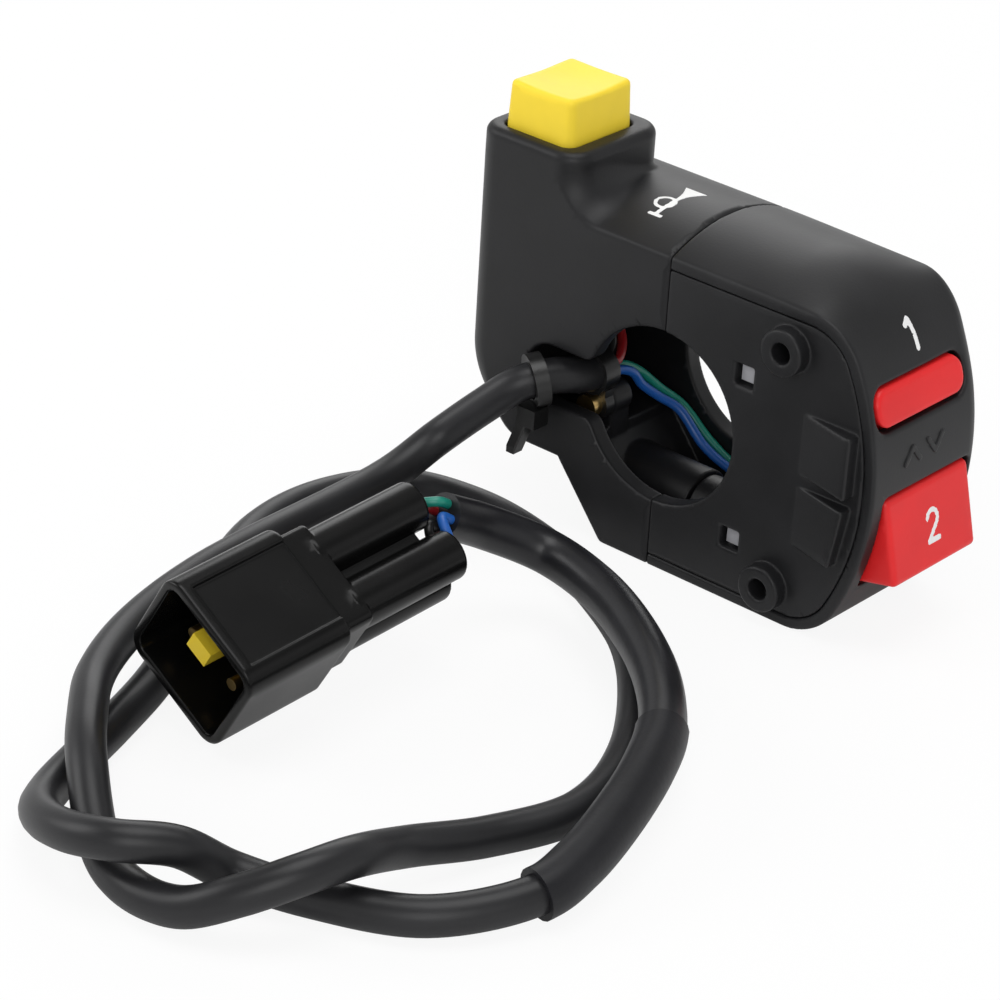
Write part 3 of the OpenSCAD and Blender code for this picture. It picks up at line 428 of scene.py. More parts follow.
def crown_rise(p):
    """How far the crown stands out of the side outline; it runs out in the upper corner."""
    run = CROWN_TOP - RUN_R + np.sqrt(np.maximum(RUN_R ** 2 - np.maximum(p[0] - RUN_X, 0) ** 2, 0))
    turn = np.clip((p[0] - CORNER_X) / CORNER_R, 0, 1)
    steep = np.sqrt(1 - turn ** 2)
    flat = CORNER_TOP + CORNER_R * steep
    gap = np.where(p[0] < RUN_END, np.maximum(run - flat, 0) * steep, 0)
    dome = np.sqrt(CROWN_R ** 2 - np.minimum(np.abs(p[1]), FAR) ** 2) - CROWN_R + CROWN_TOP - SIDE_TOP
    return gap * dome / (CROWN_TOP - SIDE_TOP) * blend_step(p[2], *RISE_Z)


def mode_outer(p):
    """Whole outer form of the rocker half; its far edge is rounder and falls towards the rocker end."""
    fall = FAR_FALL * blend_step(p[0], *FALL_X) * blend_step(p[1], 0, FAR) * blend_step(p[2], *FALL_Z)
    edge = EDGE_R + (FAR_EDGE_R - EDGE_R) * blend_step(p[0], *FAR_EDGE_X) * (p[1] > 0)
    return round_max(flat_profile(p) - crown_rise(p) + fall, np.abs(p[1]) - FAR, edge)


def bore(p):
    return np.hypot(p[0], p[2]) - BAR_R


def clamp_cuts(field, p, split):
    """Bar hole, and the thin gap where the halves meet."""
    return round_max(cut(field, bore(p), BORE_EDGE_R), split, SPLIT_EDGE_R)


# Rocker windows: the bar's and the wedge's
BAR_NEAR, BAR_FAR = -9.5, 7.3
BAR_LOW, BAR_HIGH, BAR_END_R = 8.8, 13.2, 1.9
WEDGE_Y = 8.2
WEDGE_LOW, WEDGE_HIGH = -11.9, -0.2
WINDOW_GAP = 0.35
BAR_SWING, WEDGE_SWING = 0.6, 0.35
BAR_WINDOW_R, WEDGE_WINDOW_R = BAR_END_R + 0.2, 0.9
WINDOW_BACK = 24


def rocker_windows(p):
    bar = round_rect(p[1], p[2], (BAR_NEAR - WINDOW_GAP, BAR_LOW - BAR_SWING),
                     (BAR_FAR + WINDOW_GAP, BAR_HIGH + WINDOW_GAP), BAR_WINDOW_R)
    wedge = round_rect(p[1], p[2], (-WEDGE_Y - WINDOW_GAP, WEDGE_LOW - WEDGE_SWING),
                       (WEDGE_Y + WINDOW_GAP, WEDGE_HIGH + WINDOW_GAP), WEDGE_WINDOW_R)
    return meet(join(bar, wedge), WINDOW_BACK - p[0])


# Forms inside the rocker half: seats of the clamp screws, posts of the cover's pegs, room for the rocker
SCREW_SEAT_R, SCREW_SEAT_END = 4, 8
PEG_X = 12
PEG_ZS = (9.7, -11.75)
PEG_HALF, PEG_POST_R, PEG_GAP = 1.35, 1.5, 0.2
WEB_ROOM_BACK, WEB_ROOM_FRONT = 24.5, 29.1


def screw_seats(p, outer):
    seats = [rod_x(p, *at, SCREW_SEAT_R, -LAP, SCREW_SEAT_END) for at in (UPPER_SCREW, LOWER_SCREW)]
    return meet(join(*seats), outer + LAP, NEAR + WALL - p[1])


def make_mode_shell():
    p, first = lattice((0, NEAR, BOTTOM), (MODE_END, FAR, CROWN_TOP), FINE_STEP)
    outer = mode_outer(p)
    flat = flat_profile(p)
    room = round_max(flat + WALL, np.abs(p[1]) - INNER, ROOM_R)
    recess = meet(flat + RIM, p[1] + INNER)
    field = cut(cut(outer, room), recess, COVER_GAP)
    posts = [rod_y(p, PEG_X, z, PEG_POST_R, NEAR + WALL + PEG_GAP, FAR - LAP) for z in PEG_ZS]
    field = join(field, screw_seats(p, outer), *posts)
    web_room = block(p, (WEB_ROOM_BACK, -INNER, WEDGE_HIGH - LAP), (WEB_ROOM_FRONT, INNER, BAR_LOW), SOFT_R)
    field = cut(cut(field, web_room), rocker_windows(p), WINDOW_EDGE_R)
    field = clamp_cuts(field, p, SPLIT_GAP - p[0])
    shell = skin("mode_shell_skin", field, first, FINE_STEP, SHELL_PLASTIC)
    stand_for(shell, "clamp", "shell", "mode_half_shell")


# Side cover
BOSS_X, BOSS_Z, BOSS_R, BOSS_HOLE_R, BOSS_H = 18.1, 15.4, 2.9, 1.3, 2
BOSS_SIDES = (-1, 1)
PAD_H = 2
PAD_LEFT, PAD_RIGHT, PAD_TAPER = 20.8, 28.8, 1.4
UPPER_PAD, LOWER_PAD = (0.4, 8.3), (-9, -1.1)
PEG_EDGE_R = 0.15


def cover_pads(p):
    """Two ramped pads whose outer ends lie on one slanted line."""
    ramp = (NEAR - p[1]) - PAD_H * (p[0] - PAD_LEFT) / (PAD_RIGHT - PAD_LEFT)
    slant = (p[0] - PAD_RIGHT) - (p[2] - LOWER_PAD[1]) * PAD_TAPER / (LOWER_PAD[1] - LOWER_PAD[0])
    pads = [block(p, (PAD_LEFT, NEAR - PAD_H, low), (PAD_RIGHT, NEAR + LAP, high), SOFT_R)
            for low, high in (UPPER_PAD, LOWER_PAD)]
    return join(*[round_max(pad, meet(ramp, slant), LIP_R) for pad in pads])


def cut_cover_holes(field, p):
    """Holes of the bosses, windows of the pegs and a pocket for the rocker's bar."""
    for side in BOSS_SIDES:
        field = cut(field, rod_y(p, BOSS_X, side * BOSS_Z, BOSS_HOLE_R, NEAR - PAST, 0), LIP_R)
    for z in PEG_ZS:
        window = block(p, (PEG_X - PEG_HALF, NEAR - PAST, z - PEG_HALF),
                       (PEG_X + PEG_HALF, 0, z + PEG_HALF), FINE_R)
        field = cut(field, window, PEG_EDGE_R)
    pocket = block(p, (WINDOW_BACK, BAR_NEAR - WINDOW_GAP, BAR_LOW - BAR_SWING),
                   (MODE_END + PAST, 0, BAR_HIGH + WINDOW_GAP), FINE_R)
    return cut(field, pocket)


def make_side_cover():
    p, first = lattice((0, NEAR - PAD_H, BOTTOM), (MODE_END, NEAR + WALL, SIDE_TOP), FINE_STEP)
    field = round_max(flat_profile(p) + RIM + COVER_GAP, between(p[1], NEAR, NEAR + WALL), COVER_GAP)
    bosses = [rod_y(p, BOSS_X, side * BOSS_Z, BOSS_R, NEAR - BOSS_H, NEAR + LAP, SOFT_R)
              for side in BOSS_SIDES]
    field = cut_cover_holes(join(field, *bosses, cover_pads(p)), p)
    field = clamp_cuts(field, p, SPLIT_GAP - p[0])
    cover = skin("side_cover_skin", field, first, FINE_STEP, SHELL_PLASTIC)
    stand_for(cover, "clamp", "shell", "mode_side_cover")


# Button half: block, nose, tower and the openings in them
BLOCK_LOW = -11
PLAN_R = 3.5
PLAN_X = (-22, -28)
NOSE_X, NOSE_FLAT_X, NOSE_R = -15, -7.5, 0.4
TOWER_RIGHT, TOWER_FAR, TOWER_RIM_R, TOWER_WALL, TOWER_ROOF = -15, 6.2, 1.2, 1.6, 2.3
TOWER_EDGE_R, TOWER_EDGE_RUN = 0.02, 3
NEAR_FILLET_R, FAR_FILLET_R = 4.5, 0.8
FILLET_Y = (-9, 3)
CEILING = 18
SHAFT_LAP, SHAFT_R = 2, 0.5
SLOT_LOW, SLOT_HIGH, SLOT_END, SLOT_PAST = -4.3, 3.3, -20.5, 0.5
TOOTH_R = 1.2
BUTTON_BOX = box_mm("horn_button")
BUTTON_AT = (BUTTON_BOX[0] + BUTTON_BOX[1])[:2] / 2
BUTTON_W, BUTTON_D, BUTTON_R = 10.4, 12, 1.2
BUTTON_GAP = 0.25
OPENING_LOW = 20

# Post of the cable clip
CLIP_SCREW_Z, CLIP_SCREW_R = -5.3, 1
CLIP_POST_Y = (-4, -0.4)
CLIP_POST_R, CLIP_WEB = 2.2, 1.8

# Tubes of the clamp screws; they start well outside and are trimmed to the walls
OUTSIDE = -40
UPPER_TUBE_R, LOWER_TUBE_R, LOWER_TUBE_START = 3.2, 4.5, -20
UPPER_SEAT, LOWER_SEAT = -27.5, -8
POCKET_R, POCKET_TUBE_END = 3.5, -26
SCREW_HOLE_R = 2.2
TUBE_INSET = 0.4


def nose(p):
    slope = Vector((NOSE_FLAT_X - NOSE_X, BOTTOM - BLOCK_LOW)).normalized()
    slant = slope.y * (p[0] - NOSE_X) - slope.x * (p[2] - BLOCK_LOW)
    low = round_max(round_max(NOSE_X - p[0], slant, NOSE_R), BOTTOM - p[2], NOSE_R)
    return meet(low, p[2])


def tower_plan(p):
    return round_rect(p[0], p[1], (HORN_END, NEAR), (TOWER_RIGHT, TOWER_FAR), PLAN_R)


def horn_outer(p):
    plan = tower_plan(p)
    tower = round_max(plan, p[2] - TOWER_TOP, TOWER_RIM_R)
    fillet = NEAR_FILLET_R + (FAR_FILLET_R - NEAR_FILLET_R) * blend_step(p[1], *FILLET_Y)
    top = round_min(crown(p), tower, fillet)
    corner = EDGE_R + (PLAN_R - EDGE_R) * blend_step(p[0], *PLAN_X)
    walls = round_max(HORN_END - p[0], BLOCK_LOW - p[2], -BLOCK_LOW)
    walls = round_max(walls, np.abs(p[1]) - FAR, corner)
    edge = TOWER_EDGE_R + (EDGE_R - TOWER_EDGE_R) * blend_step(plan, 0, TOWER_EDGE_RUN)
    lower = round_max(nose(p), np.abs(p[1]) - FAR, EDGE_R)
    return join(round_max(top, walls, edge), lower)


def horn_room(p):
    left = HORN_END + WALL
    main = round_max(left - p[0], BLOCK_LOW + WALL - p[2], -BLOCK_LOW - WALL)
    main = round_max(meet(main, p[2] - CEILING), np.abs(p[1]) - INNER, ROOM_R)
    low = meet(nose(p) + WALL, np.abs(p[1]) - INNER, p[2])
    shaft = block(p, (HORN_END + TOWER_WALL, NEAR + TOWER_WALL, CEILING - SHAFT_LAP),
                  (TOWER_RIGHT - TOWER_WALL, TOWER_FAR - TOWER_WALL, TOWER_TOP - TOWER_ROOF), SHAFT_R)
    return join(main, low, shaft)


def button_plan(p, grow):
    x, y = BUTTON_AT
    return round_rect(p[0], p[1], (x - BUTTON_W / 2 - grow, y - BUTTON_D / 2 - grow),
                      (x + BUTTON_W / 2 + grow, y + BUTTON_D / 2 + grow), BUTTON_R + grow)


def screw_tubes(p):
    return join(rod_x(p, *UPPER_SCREW, UPPER_TUBE_R, OUTSIDE, LAP),
                rod_x(p, *UPPER_SCREW, POCKET_R + LAP, OUTSIDE, POCKET_TUBE_END),
                rod_x(p, *LOWER_SCREW, LOWER_TUBE_R, LOWER_TUBE_START, LAP))


def clip_post(p):
    web = block(p, (CLIP_X - CLIP_WEB, CLIP_POST_Y[0], BLOCK_LOW),
                (CLIP_X + CLIP_WEB, CLIP_POST_Y[1], CLIP_SCREW_Z), FINE_R)
    return join(rod_y(p, CLIP_X, CLIP_SCREW_Z, CLIP_POST_R, *CLIP_POST_Y), web)


def cable_slot(p):
    """Slot with a round end, which leads from the bore out through the near wall."""
    mid, half = (SLOT_LOW + SLOT_HIGH) / 2, (SLOT_HIGH - SLOT_LOW) / 2
    slot = join(np.hypot(p[0] - SLOT_END - half, p[2] - mid) - half,
                meet(np.abs(p[2] - mid) - half, SLOT_END + half - p[0]))
    return meet(round_min(slot, bore(p), TOOTH_R), p[1] - NEAR - WALL - SLOT_PAST)


def cut_screw_holes(field, p):
    for at, seat in ((UPPER_SCREW, UPPER_SEAT), (LOWER_SCREW, LOWER_SEAT)):
        field = cut(field, rod_x(p, *at, SCREW_HOLE_R, OUTSIDE, PAST))
        field = cut(field, rod_x(p, *at, POCKET_R, OUTSIDE, seat), SOFT_R)
    return field


def make_horn_shell():
    p, first = lattice((HORN_END, NEAR, BOTTOM), (0, FAR, TOWER_TOP), FINE_STEP)
    outer = horn_outer(p)
    field = cut(outer, horn_room(p), SOFT_R)
    field = join(field, meet(join(screw_tubes(p), clip_post(p)), outer + TUBE_INSET))
    start, end = CLIP_POST_Y
    field = cut(field, rod_y(p, CLIP_X, CLIP_SCREW_Z, CLIP_SCREW_R, start - LAP, end + LAP))
    field = cut(field, cable_slot(p), BORE_EDGE_R)
    field = cut(field, meet(button_plan(p, BUTTON_GAP), OPENING_LOW - p[2]), WINDOW_EDGE_R)
    field = clamp_cuts(cut_screw_holes(field, p), p, p[0] + SPLIT_GAP)
    shell = skin("horn_shell_skin", field, first, FINE_STEP, SHELL_PLASTIC)
    stand_for(shell, "clamp", "shell", "horn_half_shell")


# Push button: a dished cap on a flange, hollow below, with a seat and a stem for the spring
BUTTON_LOW, BUTTON_TOP = BUTTON_BOX[0][2], BUTTON_BOX[1][2]
BUTTON_EDGE_R, BUTTON_DRAFT = 0.7, 0.3
DISH_R, DISH_DROP, DISH_EDGE_R = 30, 0.5, 0.5
FLANGE_LOW, FLANGE_HIGH, FLANGE_LAP = 24.4, 25.6, 0.5
HOLLOW_X, HOLLOW_Y, HOLLOW_R, HOLLOW_ROOF, HOLLOW_PAST = 2.8, 3.6, 0.4, 3, 2
SEAT_R, SEAT_LOW, STEM_R, STEM_ROOF = 2.4, 23.2, 1.4, 2


def button_cap(p):
    x, y = BUTTON_AT
    taper = BUTTON_DRAFT * np.clip((p[2] - TOWER_TOP) / (BUTTON_TOP - TOWER_TOP), 0, 1)
    cap = round_max(button_plan(p, 0) + taper, p[2] - BUTTON_TOP, BUTTON_EDGE_R)
    cap = meet(cap, FLANGE_HIGH - FLANGE_LAP - p[2])
    dish = np.sqrt((p[0] - x) ** 2 + (p[1] - y) ** 2 + (p[2] - BUTTON_TOP - DISH_R + DISH_DROP) ** 2) - DISH_R
    return cut(cap, dish, DISH_EDGE_R)


def make_button():
    low, high = BUTTON_BOX
    p, first = lattice(low, high, SMALL_STEP)
    x, y = BUTTON_AT
    flange = block(p, (low[0], low[1], FLANGE_LOW), (high[0], high[1], FLANGE_HIGH), FINE_R)
    hollow = block(p, (x - HOLLOW_X, y - HOLLOW_Y, FLANGE_LOW - HOLLOW_PAST),
                   (x + HOLLOW_X, y + HOLLOW_Y, BUTTON_TOP - HOLLOW_ROOF), HOLLOW_R)
    field = cut(join(button_cap(p), flange), hollow)
    field = join(field, rod_z(p, x, y, SEAT_R, SEAT_LOW, BUTTON_TOP - STEM_ROOF),
                 rod_z(p, x, y, STEM_R, BUTTON_LOW, BUTTON_TOP - STEM_ROOF))
    button = skin("button_skin", field, first, SMALL_STEP, YELLOW_PLASTIC)
    stand_for(button, "button", "yellow", "horn_button")


# Rocker: a bar and a wedge on one web, with a hub on the pin and a tube for the detent
PIVOT = (26.5, 4)
WEB_BACK, WEB_FRONT, WEB_Y, WEB_INSET = 24.6, 28.3, 5.8, 2
WEDGE_OUT_TOP, WEDGE_OUT_LOW, WEDGE_TIP = MODE_END, MODE_END + 2.6, -10.6
WEDGE_EDGE_R, WEDGE_LAP = 0.7, 0.3
BAR_PROUD, BAR_FACE_R = 0.2, 0.5
HUB_R, PIN_HOLE_R, PIN_HOLE_Y = 2.2, 1.05, 20
DETENT_TILT = math.radians(-3)
DETENT_TUBE_R, DETENT_TUBE = 2.6, (0, 6.5)
DETENT_BORE_R, DETENT_BORE = 1.6, (2.2, 9)


def half_plane(p, start, end):
    """Field of the side to the right of a line from start to end, drawn in X and Z."""
    run, rise = end[0] - start[0], end[1] - start[1]
    return ((p[0] - start[0]) * rise - (p[2] - start[1]) * run) / -math.hypot(run, rise)


def wedge_field(p):
    top, tip, low = (WEDGE_OUT_TOP, WEDGE_HIGH), (WEDGE_OUT_LOW, WEDGE_TIP), (WEB_FRONT, WEDGE_LOW)
    field = round_max(half_plane(p, top, tip), p[2] - WEDGE_HIGH, WEDGE_EDGE_R)
    field = round_max(field, half_plane(p, tip, low), WEDGE_EDGE_R)
    return round_max(field, np.abs(p[1]) - WEDGE_Y, WEDGE_EDGE_R)


def add_detent_tube(field, p):
    """Bored tube that leans back from the pivot."""
    back, up = PIVOT[0] - p[0], p[2] - PIVOT[1]
    along = back * math.cos(DETENT_TILT) + up * math.sin(DETENT_TILT)
    across = back * -math.sin(DETENT_TILT) + up * math.cos(DETENT_TILT)
    reach = np.hypot(across, p[1])
    field = join(field, meet(reach - DETENT_TUBE_R, between(along, *DETENT_TUBE)))
    return cut(field, meet(reach - DETENT_BORE_R, between(along, *DETENT_BORE)), SHARP_R)


def make_rocker():
    p, first = lattice(*box_mm("mode_rocker"), SMALL_STEP)
    bar = round_rect(p[1], p[2], (BAR_NEAR, BAR_LOW), (BAR_FAR, BAR_HIGH), BAR_END_R)
    bar = round_max(meet(bar, PIVOT[0] - p[0]), barrel(p) - BAR_PROUD, BAR_FACE_R)
    wedge = meet(wedge_field(p), WEB_FRONT - WEDGE_LAP - p[0])
    web = block(p, (WEB_BACK, -WEB_Y, WEDGE_LOW + WEB_INSET),
                (WEB_FRONT, WEB_Y, BAR_HIGH - WEB_INSET), SOFT_R)
    hub = rod_y(p, *PIVOT, HUB_R, -WEB_Y, WEB_Y)
    field = add_detent_tube(join(bar, wedge, web, hub), p)
    field = cut(field, rod_y(p, *PIVOT, PIN_HOLE_R, -PIN_HOLE_Y, PIN_HOLE_Y), SHARP_R)
    rocker = skin("rocker_skin", field, first, SMALL_STEP, RED_PLASTIC)
    stand_for(rocker, "rocker", "red", "mode_rocker")


# Marks: printed figures and a raised pattern

def strokes(u, v, lines, half):
    """Field of a figure drawn with round-ended strokes of a given half width."""
    field = np.float32(np.inf)
    for line in lines:
        for (u0, v0), (u1, v1) in zip(line[:-1], line[1:]):
            run, rise = u1 - u0, v1 - v0
            t = np.clip(((u - u0) * run + (v - v0) * rise) / (run * run + rise * rise), 0, 1)
            field = np.minimum(field, np.hypot(u - u0 - t * run, v - v0 - t * rise))
    return field - half


def arc_points(centre, radius, start, end, count=9):
    return [(centre[0] + radius * math.cos(math.radians(a)), centre[1] + radius * math.sin(math.radians(a)))
            for a in np.linspace(start, end, count)]


INK_T, INK_SUNK = 0.03, 0.4
DIGIT_HALF = 0.36
MARK_STEP = 0.13

# Each figure's strokes, its middle and the room it takes each way from there
ONE = [[(-0.9, 1.1), (0, 1.8), (0, -1.8)]]
ONE_AT = (27.3, 0.1, 17.3)
ONE_LEAN = math.radians(45)
ONE_ROOM = ((-2.5, -2, -3), (2.5, 2, 3))
TWO = [arc_points((0, 0.8), 1, 170, -40) + [(-1, -1.8), (1.05, -1.8)]]
TWO_AT = (MODE_END, 0.2, -5.6)
TWO_ROOM = ((-1, -2, -3), (3, 2, 3))
CHEVRONS = [[(-3.6, -0.9), (-2.2, 0.9), (-0.8, -0.9)], [(0.8, 0.9), (2.2, -0.9), (3.6, 0.9)]]
CHEVRONS_AT = (MODE_END, -1.2, 4.3)
CHEVRONS_ROOM = ((-2, -4.5, -2), (0.4, 4.5, 2))
CHEVRON_HALF, CHEVRON_RISE = 0.35, 0.15
HORN_MARK_AT = (-6.7, -1.4, CROWN_TOP)
HORN_MARK_ROOM = ((-3, -6, -3), (3, 5, 0.2))
BELL_HALF, BELL_FLARE, BELL_LOW, BELL_HIGH = 0.3, 1.5, -0.6, 3.4
LOOP_AT, LOOP_R, LOOP_HALF = (-0.7, -1.7), 1.2, 0.28
PIPE = [[(0, -4.4), (0, 0)], [(-0.8, -4.5), (0.8, -4.5)]]
PIPE_HALF = 0.3


def mark_grid(at, room):
    low, high = np.add(at, room)
    return lattice(low, high, MARK_STEP)


def printed(name, shape, surface, first, material, body, rise=INK_T):
    """Thin figure that lies on a surface and is rooted a little inside it."""
    field = meet(shape, surface - rise, -INK_SUNK - surface)
    piece = skin(name, field, first, MARK_STEP, material)
    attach(piece, body)


def horn_figure(u, v):
    """Flared bell, a loop and a mouthpiece."""
    flare = BELL_FLARE * np.clip((v - BELL_LOW) / (BELL_HIGH - BELL_LOW), 0, 1) ** 2
    bell = meet(np.abs(u) - BELL_HALF - flare, between(v, BELL_LOW, BELL_HIGH))
    loop = np.abs(np.hypot(u - LOOP_AT[0], v - LOOP_AT[1]) - LOOP_R) - LOOP_HALF
    return join(bell, loop, strokes(u, v, PIPE, PIPE_HALF))


def make_horn_mark():
    x, y, _ = HORN_MARK_AT
    p, first = mark_grid(HORN_MARK_AT, HORN_MARK_ROOM)
    printed("horn_mark", horn_figure(p[0] - x, p[1] - y), crown(p), first, WHITE_INK, "clamp")


def make_upper_digit():
    x, y, z = ONE_AT
    p, first = mark_grid(ONE_AT, ONE_ROOM)
    along = (p[2] - z) * math.cos(ONE_LEAN) - (p[0] - x) * math.sin(ONE_LEAN)
    figure = strokes(p[1] - y, along, ONE, DIGIT_HALF)
    printed("upper_digit", figure, mode_outer(p), first, WHITE_INK, "clamp")


def make_chevrons():
    _, y, z = CHEVRONS_AT
    p, first = mark_grid(CHEVRONS_AT, CHEVRONS_ROOM)
    figure = strokes(p[1] - y, p[2] - z, CHEVRONS, CHEVRON_HALF)
    printed("bridge_chevrons", figure, mode_outer(p), first, SHELL_PLASTIC, "clamp", CHEVRON_RISE)


def make_lower_digit():
    _, y, z = TWO_AT
    p, first = mark_grid(TWO_AT, TWO_ROOM)
    figure = strokes(p[1] - y, p[2] - z, TWO, DIGIT_HALF)
    printed("lower_digit", figure, wedge_field(p), first, WHITE_INK, "rocker")


# Plug, in its own frame: mouth at the origin, rear along +Y
PLUG_AT = (-8.4, -80.3, -9.6)
PLUG_YAW, PLUG_PITCH, PLUG_ROLL = -3, 4.5, 32.5
PLUG_W, PLUG_H, PLUG_LEN, PLUG_R, PLUG_EDGE_R = 16, 14.4, 15.2, 2.5, 0.35
PLUG_WALL, PLUG_CAVITY = 1.2, 12
NECK_LEN, NECK_W, NECK_H, NECK_R = 4.6, 13.6, 11.2, 1
RAIL_W, RAIL_H, COLLAR = 2.6, 0.5, 1.5
TUBE_R, TUBE_LEN, TUBE_BORE_R, TUBE_BORE_LEN, TUBE_PROUD = 3, 15.5, 1.9, 4, 2
TUBE_MID, TUBE_PITCH = (0.1, 0.4), (3.6, 2.4)
TUBES = [(TUBE_MID[0] + TUBE_PITCH[0] * sx, TUBE_MID[1] + TUBE_PITCH[1] * sz)
         for sz in (1, -1) for sx in (-1, 1)]
PLUG_BACK = PLUG_LEN + NECK_LEN
TUBE_END = PLUG_BACK + TUBE_LEN


def plug_matrix():
    turn = Matrix.Rotation(math.radians(PLUG_YAW), 4, "Z") @ Matrix.Rotation(math.radians(PLUG_PITCH), 4, "X")
    turn = turn @ Matrix.Rotation(math.radians(PLUG_ROLL), 4, "Y")
    return Matrix.Translation(Vector(PLUG_AT) * MM) @ turn


def middle_rect(p, width, height, r):
    half_w, half_h = width / 2, height / 2
    return round_rect(p[0], p[2], (-half_w, -half_h), (half_w, half_h), r)


def plug_body(p):
    """Square shroud, neck, and four tubes on a web between them."""
    shroud = round_max(middle_rect(p, PLUG_W, PLUG_H, PLUG_R), between(p[1], 0, PLUG_LEN), PLUG_EDGE_R)
    neck = round_max(middle_rect(p, NECK_W, NECK_H, NECK_R), between(p[1], PLUG_LEN - LAP, PLUG_BACK), SOFT_R)
    low, high = TUBES[2], TUBES[1]
    web = block(p, (low[0], PLUG_BACK - LAP, low[1]), (high[0], TUBE_END - TUBE_PROUD, high[1]), FINE_R)
    tubes = [rod_y(p, x, z, TUBE_R, PLUG_BACK - LAP, TUBE_END, LIP_R) for x, z in TUBES]
    return join(shroud, neck, web, *tubes)


def make_plug():
    half_w, half_h = PLUG_W / 2, PLUG_H / 2
    p, first = lattice((-half_w, 0, -half_h), (half_w, TUBE_END, half_h), SMALL_STEP)
    hollow = middle_rect(p, PLUG_W - 2 * PLUG_WALL, PLUG_H - 2 * PLUG_WALL, PLUG_R - PLUG_WALL)
    field = cut(plug_body(p), meet(hollow, between(p[1], -PAST, PLUG_CAVITY)), LIP_R)
    recess = block(p, (RAIL_W - half_w, COLLAR, half_h - RAIL_H),
                   (half_w - RAIL_W, PLUG_LEN + LAP, half_h + PAST), SHARP_R)
    field = cut(field, recess, SHARP_R)
    for x, z in TUBES:
        field = cut(field, rod_y(p, x, z, TUBE_BORE_R, TUBE_END - TUBE_BORE_LEN, TUBE_END + PAST))
    plug = skin("plug_skin", field, first, SMALL_STEP, PLUG_PLASTIC, plug_matrix())
    stand_for(plug, "clamp", "plug", "connector_housing")
    return plug


# Cable, sleeves and wires: points along each stretch, and how many points the cable stops short in its sleeve
CABLE_STEPS, WIRE_STEPS = 12, 8
CABLE_SHORT = 4
ROUND_STEPS = 8


def smooth_route(points, steps):
    """Points on a smooth curve through a route, evenly eased so that no stretch overshoots."""
    route = np.array(points, float)
    route = np.vstack([2 * route[0] - route[1], route, 2 * route[-1] - route[-2]])
    dense = []
    for a, b, c, d in zip(route[:-3], route[1:-2], route[2:-1], route[3:]):
        knots = np.cumsum([0] + [math.sqrt(np.linalg.norm(q - o)) for o, q in ((a, b), (b, c), (c, d))])
        for t in np.linspace(knots[1], knots[2], steps, endpoint=False):
            layer = [a, b, c, d]
            for level in (1, 2, 3):
                layer = [mix_knots(layer, knots, t, k, level) for k in range(len(layer) - 1)]
            dense.append(layer[0])
    dense.append(route[-2])
    return np.array(dense)


def mix_knots(layer, knots, t, k, level):
    """One step of the pyramid that evaluates the smooth curve."""
    if level == 1:
        low, high = knots[k], knots[k + 1]
    elif level == 2:
        low, high = knots[k], knots[k + 2]
    else:
        low, high = knots[1], knots[2]
    return layer[k] * (high - t) / (high - low) + layer[k + 1] * (t - low) / (high - low)


def strand(name, points, diameter, material):
    data = bpy.data.curves.new(name, "CURVE")
    data.dimensions = "3D"
    spline = data.splines.new("POLY")
    spline.points.add(len(points) - 1)
    flat = np.c_[np.array(points) * MM, np.ones(len(points))]
    spline.points.foreach_set("co", flat.ravel())
    spline.use_smooth = True
    data.bevel_depth = diameter / 2 * MM
    data.bevel_resolution = ROUND_STEPS
    data.use_fill_caps = True
    data.materials.append(material)
    thing = bpy.data.objects.new(name, data)
    bpy.context.scene.collection.objects.link(thing)
    return thing


def make_cable(plug):
    dense = smooth_route(CABLE_ROUTE + SHRINK_ROUTE + SLEEVE_ROUTE, CABLE_STEPS)
    shrink_first = (len(CABLE_ROUTE) - 1) * CABLE_STEPS
    sleeve_first = shrink_first + len(SHRINK_ROUTE) * CABLE_STEPS
    inner = dense[:-CABLE_SHORT]
    cable = strand("cable", inner, CABLE_D, CABLE_RUBBER)
    shrink = strand("joint_sleeve", dense[shrink_first:sleeve_first + 1], SHRINK_D, SHRINK_PLASTIC)
    sleeve = strand("plug_sleeve", dense[sleeve_first:], SLEEVE_D, SLEEVE_PLASTIC)
    stand_for(cable, "clamp", "cable", "main_cable")
    stand_for(shrink, "clamp", "shrink", "heat_shrink_sleeve")
    stand_for(sleeve, "clamp", "sleeve", "connector_sleeve")
    tails = make_tails(dense)
    riders = [shrink, sleeve, plug, *tails]
    riders += [frame["nodes"][n] for n in ("connector_lock", "connector_pins", "connector_seals")]
    riders.append(frame["nodes"]["cable_tie"])


TAIL_SPREAD, TAIL_STAND, TAIL_SUNK, TAIL_CLEAR = 1.4, 1.6, 2, 0.4
TAIL_SLOTS = {"green": (0, 1), "blue": (-1, 0), "red": (1, 0), "black": (0, -1)}
WIRE_COLOURS = {"green": WIRE_GREEN, "blue": WIRE_BLUE, "red": WIRE_RED, "black": WIRE_BLACK}


def make_tails(dense):
    """Wire tails between the plug's tubes and the end of the soft sleeve."""
    end = dense[-1]
    out = (dense[-1] - dense[-3]) / np.linalg.norm(dense[-1] - dense[-3])
    side = np.cross(out, (0, 0, 1))
    side /= np.linalg.norm(side)
    lift = np.cross(side, out)
    place = plug_matrix()
    tails = []
    for (x, z), (name, slot) in zip(TUBES, TAIL_SLOTS.items()):
        start, clear = [np.array(place @ Vector((x * MM, y * MM, z * MM))) / MM
                        for y in (TUBE_END - TAIL_SUNK, TUBE_END + TAIL_CLEAR)]
        stop = end + TAIL_SPREAD * (slot[0] * side + slot[1] * lift)
        route = smooth_route([start, clear, stop + TAIL_STAND * out, stop], WIRE_STEPS)
        tail = strand("wire_tail_" + name, route, WIRE_D, WIRE_COLOURS[name])
        stand_for(tail, "clamp", "wire_" + name, "tail_" + name)
        tails.append(tail)
    return tails


